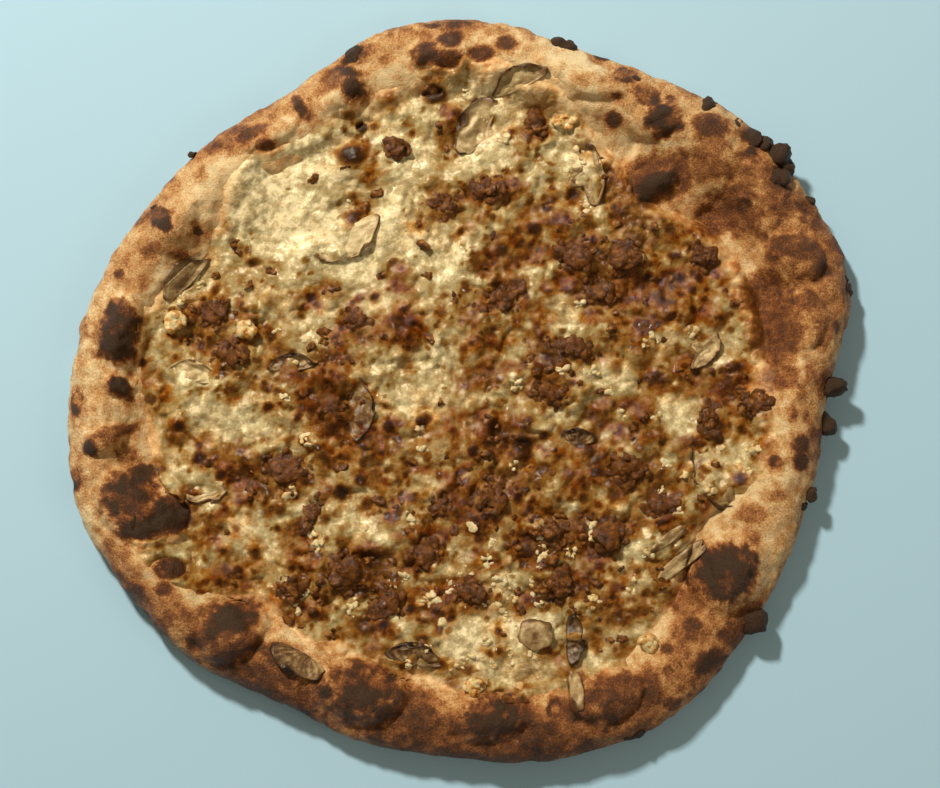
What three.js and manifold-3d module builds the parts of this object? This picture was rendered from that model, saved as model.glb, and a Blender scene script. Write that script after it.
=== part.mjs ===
// A wood-fired white pizza, whole and uncut: a blistered dough base with a puffed rim, a layer of melted
// cheese with small crumbs and curds stuck in it, sliced mushrooms and lumps of crumbled sausage.
// Millimetres, +Z up. The base stands on the XY plane, and +Y is the side furthest from the diner.
import * as THREE from "three";
import { TessellateModifier } from "three/addons/modifiers/TessellateModifier.js";
import { mergeVertices } from "three/addons/utils/BufferGeometryUtils.js";
import Module from "manifold-3d";

const wasm = await Module();
wasm.setup();

// ---- Driving dimensions -------------------------------------------------------------------------------

const RIM_RADII = [
  151, 165, 163, 159, 150, 149, 153, 150, 142, 145, 149, 156, 161, 164, 160, 157, 148, 150, 151, 156, 159,
  155, 151, 149,
]; // outer radius of the hand-stretched rim, every 15 degrees from +X
const RIM_WIDTH = 40; // from the outer edge to the foot of the rim's inner slope
const FLAT_WIDTH = 54; // from the outer edge to where no blister lifts the floor
const RIM_HEIGHT = 18; // mean height of the rim's crest
const CREST_INSET = 0.37; // of the rim's width, from the outer edge to the crest
const FOOT_INSET = 0.25; // of the rim's width, from the outer edge to where the base touches down
const BULGE_HEIGHT = 0.42; // of the rim's height, at its outermost line
const FLOOR = 4.5; // baked dough under the cheese
const CHEESE = 3.8; // mean thickness of the melted cheese
const CHEESE_EDGE = 0.7; // thickness of the cheese where it ends on the rim
const GAP = 0.3; // clearance between touching solids
const REST = 0.3; // a topping's mean height over its clearance, where the cheese under it bulges
const SLICE = 2.4; // thickness of a mushroom slice

const SEGMENTS = 96; // round the pizza
const BULGE_STEPS = 3; // rings of the rim below its outermost line
const SHOULDER_STEPS = 4; // rings from the outermost line up to the crest
const SLOPE_STEPS = 4; // rings from the crest down to the cheese's edge
const DISH_STEPS = 9; // rings of the cheese's top inside the flat floor's edge
const SLICE_EDGE = 10; // longest edge of a slice's triangles, so that it can follow what it lies on

// Blisters of the rim: [x, y, half length, half width, turn in degrees, rise].
const BLISTERS = [
  [-138, 23, 17, 11, 85, 6],
  [-139, 1, 7, 6, 0, 4],
  [-128, -48, 22, 17, -15, 7],
  [-144, -22, 10, 6, 30, 5],
  [-92, -99, 18, 12, 40, 7],
  [-42, -124, 22, 14, 0, 7],
  [8, -131, 20, 14, -5, 5],
  [58, -124, 17, 12, 20, 5],
  [108, -76, 18, 17, 50, 7],
  [134, 52, 15, 12, -10, 5],
  [137, 27, 12, 14, 0, 4],
  [81, 107, 12, 11, 0, 5],
  [80, 84, 15, 9, 28, 6],
  [103, 104, 11, 10, 0, 4],
  [-9, 137, 14, 9, 0, 4],
  [50, 127, 20, 9, -20, 4],
  [-48, 122, 10, 12, 0, 6],
  [-82, 104, 16, 8, 18, 3],
  [-118, 66, 14, 11, 60, 3],
];

// Charred beads that stand out of the rim's side: [x, y, height of the centre, radius].
const BEADS = [
  [101, 114, 13, 4.5],
  [113, 107, 12, 4],
  [120, 101, 13, 4.5],
  [131, 95, 13, 6.5],
  [130, 85, 16, 5],
  [156, 39, 9, 5],
  [149, 0, 11, 7.5],
  [148, -15, 9, 5.5],
  [40, 141, 11, 4.5],
  [-44, 136, 11, 5],
  [68, -139, 9, 6],
  [118, -95, 9, 6],
];

// Mounds and hollows of the melted cheese: [x, y, half length, half width, turn, rise].
const MOUNDS = [
  [-74, 80, 28, 23, 10, 2.6],
  [-36, 94, 20, 11, 15, 2.4],
  [-44, 73, 12, 7, 10, -2.6],
  [47, 106, 16, 9, -10, 2.4],
  [42, 96, 11, 6, 0, -1.6],
  [80, 66, 18, 13, 40, 1.2],
  [108, -36, 15, 15, 0, 1.8],
  [-34, 10, 22, 18, 0, 1],
  [20, -104, 26, 10, 0, 1.2],
  [-100, 0, 18, 14, 0, 1],
];

// Mushroom slices: [x, y, way the crown points in degrees, cap width, has a stem].
const SLICES = [
  [7, 105, 150, 28, true],
  [24, 124, 110, 22, false],
  [52, 87, 5, 25, true],
  [-112, 44, 135, 22, false],
  [-110, 4, 80, 20, true],
  [-47, 63, -55, 30, true],
  [-70, 8, 95, 18, true],
  [-44, -10, 0, 26, true],
  [-104, -41, -75, 20, true],
  [-64, -110, -100, 26, true],
  [-19, -111, 80, 24, false],
  [44, -103, 0, 19, false],
  [105, -36, 205, 32, true],
  [46, -22, 90, 16, false],
  [99, 15, -35, 18, true],
];

// Bare stems, cut lengthwise or across: [x, y, turn in degrees, length, width].
const STEMS = [
  [30, -101, 0, 14, 13],
  [46, -122, 100, 15, 6],
  [89, -71, 38, 27, 6],
  [84, -62, 36, 17, 5],
];

// Lumps of crumbled sausage: [x, y, half length, half width, turn in degrees, height].
const SAUSAGE = [
  [-101, 31, 11, 6, 15, 6],
  [-94, 14, 9, 6, -10, 6],
  [-27, 99, 5, 5, 0, 6],
  [31, 108, 4, 7, 20, 6],
  [8, 81, 11, 5, 12, 5],
  [-7, 76, 6, 4, 0, 5],
  [47, 55, 10, 8, 0, 6],
  [67, 53, 10, 8, 10, 6],
  [57, 40, 10, 6, 0, 5],
  [99, 54, 5, 7, 35, 6],
  [17, 36, 11, 7, 20, 6],
  [45, 16, 13, 4.5, -15, 5],
  [35, -3, 8, 6, 0, 6],
  [-43, 28, 6, 4, -10, 4],
  [-73, -33, 13, 8, 0, 7],
  [-62, -52, 11, 4, 60, 5],
  [-46, -76, 12, 9, -30, 7],
  [-31, -88, 8, 8, 0, 6],
  [-69, -82, 7, 5, 10, 6],
  [-16, -68, 7, 8, 0, 6],
  [12, -45, 8, 10, -10, 7],
  [-9, -49, 5, 5, 0, 6],
  [68, -35, 10, 8, 0, 7],
  [81, -48, 8, 5, 0, 6],
  [37, -61, 10, 7, -10, 6],
  [60, -63, 10, 7, 20, 6],
  [41, -80, 8, 7, 0, 6],
  [4, -84, 9, 6, 0, 6],
  [118, -7, 9, 5.5, -15, 6],
  [101, -13, 9, 3.5, 85, 5],
];

// Curds of fresh cheese as large as a berry: [x, y, half length, half width].
const CURDS = [
  [-117, 27, 5, 5],
  [-88, 24, 5, 4.5],
  [42, 109, 6, 3.5],
  [5, -121, 6, 4],
  [76, -104, 5, 5],
];

// Small crumbs and curds stuck in the cheese: [x, y, radius].
const CRUMBS = [
  [-102, 46, 2.4],
  [-88, 42, 2.4],
  [-78, 47, 2],
  [-106, 18, 2.4],
  [-62, 85, 3],
  [-35, 80, 2.6],
  [-17, 58, 3],
  [-18, 68, 2.4],
  [-53, 40, 2.6],
  [-33, 45, 2.6],
  [-15, 46, 2.2],
  [-56, 22, 2.6],
  [36, 74, 2.2],
  [80, 66, 2.2],
  [113, 35, 2.2],
  [84, 20, 2.4],
  [75, 4, 2.6],
  [62, 24, 2.6],
  [-86, -43, 2.6],
  [-34, -46, 2.4],
  [-30, -70, 2.2],
  [-57, -88, 2.4],
  [-70, -94, 2.6],
  [-15, -84, 2.6],
  [-2, -58, 2.6],
  [24, -84, 2.2],
  [55, -79, 2.4],
  [16, -100, 2],
  [-8, -6, 2],
  [-12, 20, 2.2],
];

// ---- Shared shapes ------------------------------------------------------------------------------------

// A repeatable random number from 0 to 1.
function seeded(seed) {
  let state = seed;
  return () => {
    state = (state * 1664525 + 1013904223) % 4294967296;
    return state / 4294967296;
  };
}

// The value between evenly spaced ones round a circle, on a smooth closed curve.
function around(values, angle) {
  const count = values.length;
  const place = THREE.MathUtils.euclideanModulo(angle / (2 * Math.PI), 1) * count;
  const first = Math.floor(place);
  const t = place - first;
  const [a, b, c, d] = [-1, 0, 1, 2].map((step) => values[(first + step + count) % count]);
  return b + 0.5 * t * (c - a + t * (2 * a - 5 * b + 4 * c - d + t * (3 * (b - c) + d - a)));
}

// How far inside an ellipse a point lies: 1 at its centre, 0 at its edge and beyond.
function within(x, y, [cx, cy, length, width, turn = 0]) {
  const angle = THREE.MathUtils.degToRad(turn);
  const along = (x - cx) * Math.cos(angle) + (y - cy) * Math.sin(angle);
  const across = (y - cy) * Math.cos(angle) - (x - cx) * Math.sin(angle);
  return Math.max(0, 1 - (along / length) ** 2 - (across / width) ** 2);
}

const outerRadius = (angle) => around(RIM_RADII, angle);
const crestHeight = (angle) => RIM_HEIGHT + 1.6 * Math.sin(2 * angle + 0.6) + 1.1 * Math.sin(5 * angle + 2);
const cheeseInset = (angle) => RIM_WIDTH * (0.76 + 0.05 * Math.sin(3 * angle + 1) + 0.03 * Math.sin(7 * angle));

// The dough's top, from its distance inside the outer edge.
function doughHeight(angle, inset) {
  const crest = crestHeight(angle);
  const crestAt = CREST_INSET * RIM_WIDTH;
  const bulge = BULGE_HEIGHT * crest;
  if (inset < crestAt) {
    return bulge + (crest - bulge) * Math.sqrt(1 - ((crestAt - inset) / crestAt) ** 2);
  }
  const down = Math.min(1, (inset - crestAt) / (RIM_WIDTH - crestAt));
  return FLOOR + (crest - FLOOR) * (0.5 + 0.5 * Math.cos(Math.PI * down));
}

function crustTop(x, y) {
  const angle = Math.atan2(y, x);
  const inset = Math.max(0, outerRadius(angle) - Math.hypot(x, y));
  const blister = BLISTERS.reduce((most, one) => Math.max(most, one[5] * within(x, y, one) ** 0.8), 0);
  const inner = THREE.MathUtils.clamp((FLAT_WIDTH - inset) / (FLAT_WIDTH - RIM_WIDTH), 0, 1);
  const outer = THREE.MathUtils.clamp(inset / (CREST_INSET * RIM_WIDTH), 0, 1);
  return doughHeight(angle, inset) + Math.min(inner, outer) * blister;
}

// The cheese's top: a wavy pool with mounds and hollows, which thins to a skin where it climbs the rim.
function cheeseTop(x, y) {
  const waves = 0.5 * Math.sin(x / 9 + 1) * Math.cos(y / 11) + 0.4 * Math.sin(x / 17 - y / 7);
  const mounds = MOUNDS.reduce((sum, mound) => sum + mound[5] * within(x, y, mound), 0);
  return Math.max(FLOOR + CHEESE + waves + mounds, crustTop(x, y) + GAP + CHEESE_EDGE);
}

// What a topping rests on: cheese, or bare dough outside it.
function bedTop(x, y) {
  const angle = Math.atan2(y, x);
  const inset = outerRadius(angle) - Math.hypot(x, y);
  return inset > cheeseInset(angle) ? cheeseTop(x, y) : crustTop(x, y);
}

// A closed mesh as a solid for cutting and joining.
function solidOf(geometry) {
  const bare = geometry.clone();
  bare.deleteAttribute("normal");
  bare.deleteAttribute("uv");
  const merged = mergeVertices(bare, 1e-4);
  const mesh = new wasm.Mesh({
    numProp: 3,
    vertProperties: merged.getAttribute("position").array,
    triVerts: new Uint32Array(merged.index.array),
  });
  return new wasm.Manifold(mesh);
}

function geometryOf(solid) {
  const mesh = solid.getMesh();
  const geometry = new THREE.BufferGeometry();
  geometry.setAttribute("position", new THREE.BufferAttribute(mesh.vertProperties, 3));
  geometry.setIndex(new THREE.BufferAttribute(mesh.triVerts, 1));
  geometry.computeVertexNormals();
  return geometry;
}

// The largest of a cut solid's bodies; scraps are dropped.
function mainBody(solid) {
  return solid.decompose().reduce((best, body) => (body.volume() > best.volume() ? body : best));
}

// A closed solid of rings, each a list of SEGMENTS points, with a point at the start and at the end. Each
// four-sided cell is split along its shorter diagonal, so that two skins that lie together split alike.
function ringSolid(start, rings, end) {
  const points = [start, ...rings.flat(), end];
  const geometry = new THREE.BufferGeometry().setFromPoints(points);
  const apart = (i, j) => points[i].distanceTo(points[j]);
  const cell = (a, b, c, d) => (apart(a, c) < apart(b, d) ? [a, b, c, a, c, d] : [a, b, d, b, c, d]);
  const index = [];
  const last = rings.length * SEGMENTS + 1;
  const at = (ring, segment) => 1 + ring * SEGMENTS + (segment % SEGMENTS);
  for (let s = 0; s < SEGMENTS; s++) {
    index.push(0, at(0, s + 1), at(0, s));
    for (let r = 0; r + 1 < rings.length; r++) {
      index.push(...cell(at(r, s), at(r, s + 1), at(r + 1, s + 1), at(r + 1, s)));
    }
    index.push(at(rings.length - 1, s), at(rings.length - 1, s + 1), last);
  }
  geometry.setIndex(index);
  return solidOf(geometry);
}

// One ring of points, from functions of the angle that give the inset from the outer edge and the height.
function ring(insetAt, heightAt) {
  return Array.from({ length: SEGMENTS }, (_, s) => {
    const angle = (2 * Math.PI * s) / SEGMENTS;
    const radius = outerRadius(angle) - insetAt(angle);
    const [x, y] = [radius * Math.cos(angle), radius * Math.sin(angle)];
    return new THREE.Vector3(x, y, heightAt(x, y, angle));
  });
}

// A rough lump: a ball with its corners pushed in and out, stretched and turned.
function lump(seed, detail, roughness, [length, width, height], turn) {
  const geometry = new THREE.IcosahedronGeometry(1, detail);
  geometry.deleteAttribute("normal");
  geometry.deleteAttribute("uv");
  const merged = mergeVertices(geometry, 1e-4);
  const random = seeded(seed);
  const position = merged.getAttribute("position");
  for (let i = 0; i < position.count; i++) {
    const point = new THREE.Vector3().fromBufferAttribute(position, i);
    point.multiplyScalar(1 + roughness * (2 * random() - 1));
    position.setXYZ(i, point.x * length, point.y * width, point.z * height);
  }
  return merged.rotateZ(THREE.MathUtils.degToRad(turn));
}

// The sum of a solid and small lumps stuck in it: each [x, y, z, radius].
function studded(solid, studs, grow) {
  return studs.reduce((sum, [x, y, z, radius], i) => {
    const size = radius + grow;
    const stud = lump(i + 50, 0, 0.14, [1.2 * size, size, size], 60 * i);
    return sum.add(solidOf(stud.translate(x, y, z)));
  }, solid);
}

// ---- Dough base ---------------------------------------------------------------------------------------

// The rim's side, from under the foot out to its outermost line.
function sideRings() {
  const foot = FOOT_INSET * RIM_WIDTH;
  return Array.from({ length: BULGE_STEPS }, (_, i) => {
    const t = ((i / BULGE_STEPS) * Math.PI) / 2;
    const rise = BULGE_HEIGHT * (1 - Math.cos(t));
    return ring(() => foot * (1 - Math.sin(t)), (x, y, angle) => crestHeight(angle) * rise);
  });
}

// The rim's top, from its outermost line over the crest to just short of the cheese.
function rimRings(heightAt) {
  const crestAt = CREST_INSET * RIM_WIDTH;
  const rings = [];
  for (let i = 0; i <= SHOULDER_STEPS; i++) {
    const inset = crestAt * (1 - Math.cos(((i / SHOULDER_STEPS) * Math.PI) / 2));
    rings.push(ring(() => inset, heightAt));
  }
  for (let i = 1; i < SLOPE_STEPS; i++) {
    rings.push(ring((angle) => crestAt + ((cheeseInset(angle) - crestAt) * i) / SLOPE_STEPS, heightAt));
  }
  return rings;
}

// The foot of the rim's slope, where the cheese lies on it, and the floor's edge.
function slopeRings(heightAt) {
  return [
    ring(cheeseInset, heightAt),
    ring((angle) => (cheeseInset(angle) + RIM_WIDTH) / 2, heightAt),
    ring(() => RIM_WIDTH, heightAt),
    ring(() => FLAT_WIDTH, heightAt),
  ];
}

const withBeads = (solid, grow) => studded(solid, BEADS, grow);

function crustSolid() {
  const rings = [...sideRings(), ...rimRings(crustTop), ...slopeRings(crustTop)];
  return withBeads(ringSolid(new THREE.Vector3(0, 0, 0), rings, new THREE.Vector3(0, 0, FLOOR)), 0);
}

// ---- Melted cheese ------------------------------------------------------------------------------------

// The cheese's top, from its edge on the slope to the middle.
function cheeseRings(heightAt) {
  const rings = slopeRings(heightAt);
  for (let i = 1; i < DISH_STEPS; i++) {
    rings.push(ring((angle) => THREE.MathUtils.lerp(FLAT_WIDTH, outerRadius(angle), i / DISH_STEPS), heightAt));
  }
  return rings;
}

// Crumbs and curds half sunk in the cheese, but clear of the dough where the cheese is thin.
function withCrumbs(solid, grow) {
  const studs = CRUMBS.map(([x, y, radius]) => {
    const z = Math.max(cheeseTop(x, y) + 0.3 * radius, crustTop(x, y) + GAP + 1.3 * radius);
    return [x, y, z, radius];
  });
  return studded(solid, studs, grow);
}

// A skin that fills the dish of the dough.
function cheeseSolid() {
  const under = slopeRings((x, y) => crustTop(x, y) + GAP).reverse();
  const bottom = new THREE.Vector3(0, 0, FLOOR + GAP);
  const top = new THREE.Vector3(0, 0, cheeseTop(0, 0));
  return withCrumbs(ringSolid(bottom, [...under, ...cheeseRings(cheeseTop)], top), 0);
}

// The dough and the cheese as one block, grown by the clearance that a topping keeps.
function bedSolid() {
  const raised = (heightAt) => (x, y) => heightAt(x, y) + GAP;
  const rings = [...sideRings(), ...rimRings(raised(crustTop)), ring(cheeseInset, raised(crustTop))];
  const top = new THREE.Vector3(0, 0, cheeseTop(0, 0) + GAP);
  const block = ringSolid(new THREE.Vector3(0, 0, 0), [...rings, ...cheeseRings(raised(cheeseTop))], top);
  return withCrumbs(withBeads(block, GAP), GAP);
}

// ---- Toppings -----------------------------------------------------------------------------------------

// Outline of a mushroom cut from crown to foot, its crown towards +Y.
function sliceOutline(width, hasStem) {
  const half = width / 2;
  const crown = 0.62 * half; // from the gills up to the crown
  const stem = 0.2 * width;
  const outline = new THREE.Shape();
  outline.absellipse(0, 0, half, crown, 0, Math.PI, false);
  outline.quadraticCurveTo(-0.98 * half, -0.3 * crown, -stem, -0.28 * crown);
  if (hasStem) {
    outline.lineTo(-0.8 * stem, -0.95 * crown);
    outline.lineTo(0.8 * stem, -0.95 * crown);
  }
  outline.lineTo(stem, -0.28 * crown);
  outline.quadraticCurveTo(0.98 * half, -0.3 * crown, half, 0);
  return outline;
}

function stemOutline(length, width) {
  const outline = new THREE.Shape();
  outline.absellipse(0, 0, length / 2, width / 2, 0, 2 * Math.PI, false);
  return outline;
}

// A thin slice that follows what it lies on, with a slow wave of its own.
function drapedSlice(outline, x, y, turn) {
  const flat = new THREE.ExtrudeGeometry(outline, { depth: SLICE, bevelEnabled: false, curveSegments: 7 });
  const slice = new TessellateModifier(SLICE_EDGE, 8).modify(flat);
  slice.rotateZ(THREE.MathUtils.degToRad(turn));
  slice.translate(x, y, 0);
  return draped(slice, (px, py) => 0.6 + 0.5 * Math.sin((px - x) / 5 + turn) * Math.cos((py - y) / 6));
}

// A shape let down onto the bed, where its flat underside follows what is below it.
function draped(geometry, waveAt) {
  const position = geometry.getAttribute("position");
  for (let i = 0; i < position.count; i++) {
    const [x, y] = [position.getX(i), position.getY(i)];
    position.setZ(i, Math.max(0, position.getZ(i)) + bedTop(x, y) + GAP + REST + waveAt(x, y));
  }
  return solidOf(geometry);
}

// ---- Assembly -----------------------------------------------------------------------------------------

const MATERIALS = {
  crust: new THREE.MeshStandardMaterial({ color: 0xb98a55, roughness: 0.85, metalness: 0 }),
  cheese: new THREE.MeshStandardMaterial({ color: 0xd8c88c, roughness: 0.4, metalness: 0 }),
  mushroom: new THREE.MeshStandardMaterial({ color: 0x9a8058, roughness: 0.5, metalness: 0 }),
  sausage: new THREE.MeshStandardMaterial({ color: 0x5c2c16, roughness: 0.45, metalness: 0 }),
  curd: new THREE.MeshStandardMaterial({ color: 0xe4cf94, roughness: 0.6, metalness: 0 }),
};

const pizza = new THREE.Group();

function addPiece(name, solid, material) {
  const mesh = new THREE.Mesh(geometryOf(solid), material);
  mesh.name = name;
  pizza.add(mesh);
}

const numbered = (name, i) => `${name}_${String(i + 1).padStart(2, "0")}`;

const crust = crustSolid();
const cheese = cheeseSolid();
addPiece("crust", crust, MATERIALS.crust);
addPiece("cheese", cheese, MATERIALS.cheese);

// Each topping is trimmed to its bed and to the lumps that went on before it.
let trim = bedSolid();
const addTopping = (name, solid, material) => addPiece(name, mainBody(solid.subtract(trim)), material);

function addLump(name, seed, roughness, [x, y, length, width, turn, height], material) {
  const shape = (grow) => {
    const size = [length + grow, width + grow, height + grow];
    return draped(lump(seed, 1, roughness, size, turn).translate(x, y, 0), () => 0);
  };
  addTopping(name, shape(0), material);
  trim = trim.add(shape(2 * GAP));
}

CURDS.forEach(([x, y, length, width], i) => {
  addLump(numbered("curd", i), i + 600, 0.08, [x, y, length, width, 0, width], MATERIALS.curd);
});
SAUSAGE.forEach((size, i) => {
  addLump(numbered("sausage", i), i + 400, 0.18, size, MATERIALS.sausage);
});
SLICES.forEach(([x, y, crown, width, hasStem], i) => {
  const solid = drapedSlice(sliceOutline(width, hasStem), x, y, crown - 90);
  addTopping(numbered("mushroom", i), solid, MATERIALS.mushroom);
});
STEMS.forEach(([x, y, turn, length, width], i) => {
  const solid = drapedSlice(stemOutline(length, width), x, y, turn);
  addTopping(numbered("stem", i), solid, MATERIALS.mushroom);
});

// The middle of the base's bounding box is the origin.
const box = new THREE.Box3().setFromObject(pizza);
const middle = box.getCenter(new THREE.Vector3());
pizza.position.set(-middle.x, -middle.y, 0);

export default pizza;
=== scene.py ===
import functools
import itertools
import math

import bmesh
import bpy
import numpy as np
from mathutils import Euler, Matrix, Vector


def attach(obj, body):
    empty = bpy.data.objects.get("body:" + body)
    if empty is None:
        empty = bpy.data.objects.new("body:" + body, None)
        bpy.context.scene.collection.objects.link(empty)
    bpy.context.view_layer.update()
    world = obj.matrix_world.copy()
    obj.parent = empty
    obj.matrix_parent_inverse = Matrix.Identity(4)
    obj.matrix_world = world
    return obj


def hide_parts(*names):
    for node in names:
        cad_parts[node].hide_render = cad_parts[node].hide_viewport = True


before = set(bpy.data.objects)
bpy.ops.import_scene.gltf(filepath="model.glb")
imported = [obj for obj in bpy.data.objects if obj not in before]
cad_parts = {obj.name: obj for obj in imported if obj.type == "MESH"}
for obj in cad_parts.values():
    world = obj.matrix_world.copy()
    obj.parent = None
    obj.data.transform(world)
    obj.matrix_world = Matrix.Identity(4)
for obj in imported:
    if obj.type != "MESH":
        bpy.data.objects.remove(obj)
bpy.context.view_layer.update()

# ---- Dough base ---------------------------------------------------------------------------------------
# One disc of wheat dough, stretched by hand and baked on the stone floor of a wood oven. Its rim puffs up
# into a hollow tube whose gas blisters char first. It is the piece that everything else lies on.

MM = 0.001  # in metres

# Outer radius of the rim in mm, every 15 degrees from +X.
RIM_RADII = np.array([
    151, 165, 163, 159, 150, 149, 153, 150, 142, 145, 149, 156, 161, 164, 160, 157, 148, 150, 151, 156, 159,
    155, 151, 149,
])

# Sizes of the dough in mm. Its distances are measured inwards from the rim's outer edge.
RIM_WIDTH = 40  # to the floor of the dish
FLAT_WIDTH = 66  # to where the blisters have died away
RIM_HEIGHT = 18
CREST_AT = 0.37 * RIM_WIDTH
FOOT_AT = 0.25 * RIM_WIDTH  # to where the rim stands on the oven's floor
BULGE_HEIGHT = 0.42  # of the crest's height, where the rim is widest
FLOOR = 4.5
TALLEST = 25.2
HALF_SIZES = (161.6, 152.5)  # of the whole pizza, which its rim may not pass
MIDDLE = 200  # to what stands for the middle of the dough
SPOKES = 900  # steps in which the section is spun round

# How far inside the rim's edge the cheese starts, in mm, every 15 degrees from +X.
CHEESE_EDGE = np.array([
    25, 39, 41, 50, 33, 19, 18, 24, 22, 17, 30, 26, 31, 35, 12, 36, 27, 33, 29, 27, 30, 33, 39, 21,
])

# Blisters. Each spot in a list is x, y, half length, half width, a value, and a turn in degrees where it
# has one, and here the value is its rise in mm.
BLISTERS = [
    (-138, 23, 17, 11, 6, 85), (-139, 1, 7, 6, 4), (-128, -48, 22, 17, 7, -15), (-144, -22, 10, 6, 5, 30),
    (-92, -99, 18, 12, 7, 40), (-42, -124, 22, 14, 7), (8, -131, 20, 14, 5, -5), (58, -124, 17, 12, 5, 20),
    (108, -76, 18, 17, 7, 50), (134, 52, 15, 12, 5, -10), (137, 27, 12, 14, 4), (81, 107, 12, 11, 5),
    (80, 84, 15, 9, 10, 28), (88, 88, 32, 20, 6, 40), (103, 104, 11, 10, 4), (-9, 137, 14, 9, 4),
    (50, 127, 20, 9, 4, -20), (-48, 122, 10, 12, 6), (-82, 104, 16, 8, 3, 18), (-118, 66, 14, 11, 3, 60),
]

# How toasted the rim is all round, every 15 degrees from +X: 0 is pale, 1 is black.
RIM_TOAST = np.array([
    0.34, 0.38, 0.34, 0.32, 0.14, 0.13, 0.20, 0.24, 0.34, 0.34, 0.24, 0.18, 0.16, 0.20, 0.42, 0.48, 0.52,
    0.52, 0.52, 0.48, 0.44, 0.44, 0.28, 0.32,
])

# Charred and toasted spots of the rim, by depth of colour. Two are painted shade rather than toast: the
# patch at (110, 73) on the shaded inner slope of the upper right rim, and the one at (146, 20) on the right
# rim's outer side.
RIM_SCORCH_AND_SHADE = [
    (-44, 137, 7, 3, 0.9, 25), (-48, 130, 8, 3, 0.8, -10), (-45, 122, 6, 5, 0.78),
    (-66, 114, 7.5, 3, 0.9, -60), (-86, 104, 9, 4, 0.62, 30), (-80, 98, 5, 3, 0.55),
    (-41, 107, 2.5, 2.5, 1), (-122, 68, 7.5, 4.5, 1, 115), (-107, 63, 2, 2, 0.8), (-125, 57, 4, 3, 0.45),
    (-115, 54, 5, 3, 0.45), (-140, 46, 3, 2.5, 0.6), (-139, 22, 14, 9, 1, 85), (-138, 0, 5.5, 5.5, 1),
    (-127, -5, 3, 3, 0.7), (-157, -7, 6, 3, 0.8, 90), (-140, -19, 12, 3, 0.5, 20), (-149, -26, 4, 4, 0.85),
    (-157, -38, 5, 2.5, 0.85, 90), (-133, -46, 13, 12, 1), (-118, -51, 11, 7, 1, -20),
    (-126, -57, 15, 6, 1, 12), (-129, -35, 6, 5, 0.8), (-117, -74, 7, 5, 0.75), (-120, -82, 5, 4, 0.6),
    (-93, -96, 14, 9, 1, 35), (-106, -103, 6, 5, 0.8), (-90, -114, 9, 5, 0.75, -30),
    (-40, -123, 21, 12, 0.9), (14, -134, 16, 11, 0.95), (37, -130, 4, 4, 0.8), (46, -133, 3, 3, 0.8),
    (58, -136, 8, 4, 0.7), (57, -122, 4, 4, 0.65), (92, -88, 10, 8, 0.42), (118, -52, 9, 5, 0.4),
    (65, -118, 5, 4, 0.55), (85, -128, 6, 4, 0.6), (75, -123, 5, 3, 0.6), (100, -111, 11, 6, 0.75, 40),
    (83, -115, 3, 3, 0.7), (89, -112, 2, 2, 0.7), (83, -106, 3, 3, 0.6), (93, -97, 6, 5, 0.6),
    (119, -95, 6, 5, 0.9), (106, -76, 15, 13, 1, 20), (127, -31, 3, 3, 0.7), (137, -31, 4, 4, 0.75),
    # (146, 20, 10, 5, ...) below is painted shade on the right rim's outer side.
    (137, -24, 4, 4, 0.7), (146, 20, 10, 5, 0.42, 90), (140, 35, 6, 6, 0.5), (135, 57, 12, 7, 0.62, -10),
    (152, 58, 5, 5, 0.5), (128, 20, 13, 14, 0.52), (124, 38, 12, 12, 0.5), (128, 4, 10, 8, 0.42),
    # (110, 73, 17, 12, ...) below is painted shade on the inner slope of the upper right rim.
    (141, 71, 2, 2, 0.7), (139, 68, 2, 2, 0.7), (110, 73, 17, 12, 0.5, 30), (116, 74, 4, 4, 0.75),
    (131, 88, 4, 3, 0.95), (118, 95, 4, 4, 0.95), (118, 103, 4, 4, 0.95), (101, 106, 9, 7, 0.6),
    (82, 108, 9, 8, 1), (80, 83, 12, 6.5, 0.88, 22), (81, 85, 19, 13, 0.55, 25), (76, 118, 7, 5, 0.85, -20),
    (85, 117, 2, 2, 0.8), (67, 128, 5, 4, 0.85, -30), (62, 109, 4, 4, 0.7), (58, 137, 4, 2, 0.85, -20),
    (18, 141, 5, 4, 0.62), (8, 137, 6, 5, 0.6), (-4, 143, 6, 5, 0.66), (-6, 134, 7, 5, 0.6),
    (-15, 136, 7, 6, 0.72), (0, 150, 5, 2, 0.7), (-12, 149, 4, 2, 0.7), (-12, 121, 5, 4, 0.8),
    (70, 62, 6, 5, 0.5), (112, -99, 16, 8, 0.55, 45), (100, 90, 12, 9, 0.42),
]


def around(values, angle):
    """A smooth closed curve through values that are evenly spaced round the pizza."""
    place = (angle / math.tau % 1) * len(values)
    first = np.floor(place).astype(int)
    t = place - first
    a, b, c, d = (values[(first + step) % len(values)] for step in (-1, 0, 1, 2))
    return b + 0.5 * t * (c - a + t * (2 * a - 5 * b + 4 * c - d + t * (3 * (b - c) + d - a)))


def distance_in(x, y, spot):
    """Distance from a spot's centre, as a share of its radius that way."""
    turn = math.radians(spot[5]) if len(spot) > 5 else 0
    along = (x - spot[0]) * math.cos(turn) + (y - spot[1]) * math.sin(turn)
    across = (y - spot[1]) * math.cos(turn) - (x - spot[0]) * math.sin(turn)
    return np.hypot(along / spot[2], across / spot[3])


def within(x, y, spot):
    return np.maximum(0, 1 - distance_in(x, y, spot) ** 2)


def ease(low, high, value):
    """0 at low, 1 at high, and a smooth step between them."""
    t = np.clip((value - low) / (high - low), 0, 1)
    return t * t * (3 - 2 * t)


def crest_height(angle):
    return RIM_HEIGHT + 1.6 * np.sin(2 * angle + 0.6) + 1.1 * np.sin(5 * angle + 2)


def cheese_depth(x, y):
    """How far inside the cheese's edge a point lies, in mm."""
    angle = np.arctan2(y, x)
    return around(RIM_RADII, angle) - np.hypot(x, y) - around(CHEESE_EDGE, angle)


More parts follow.
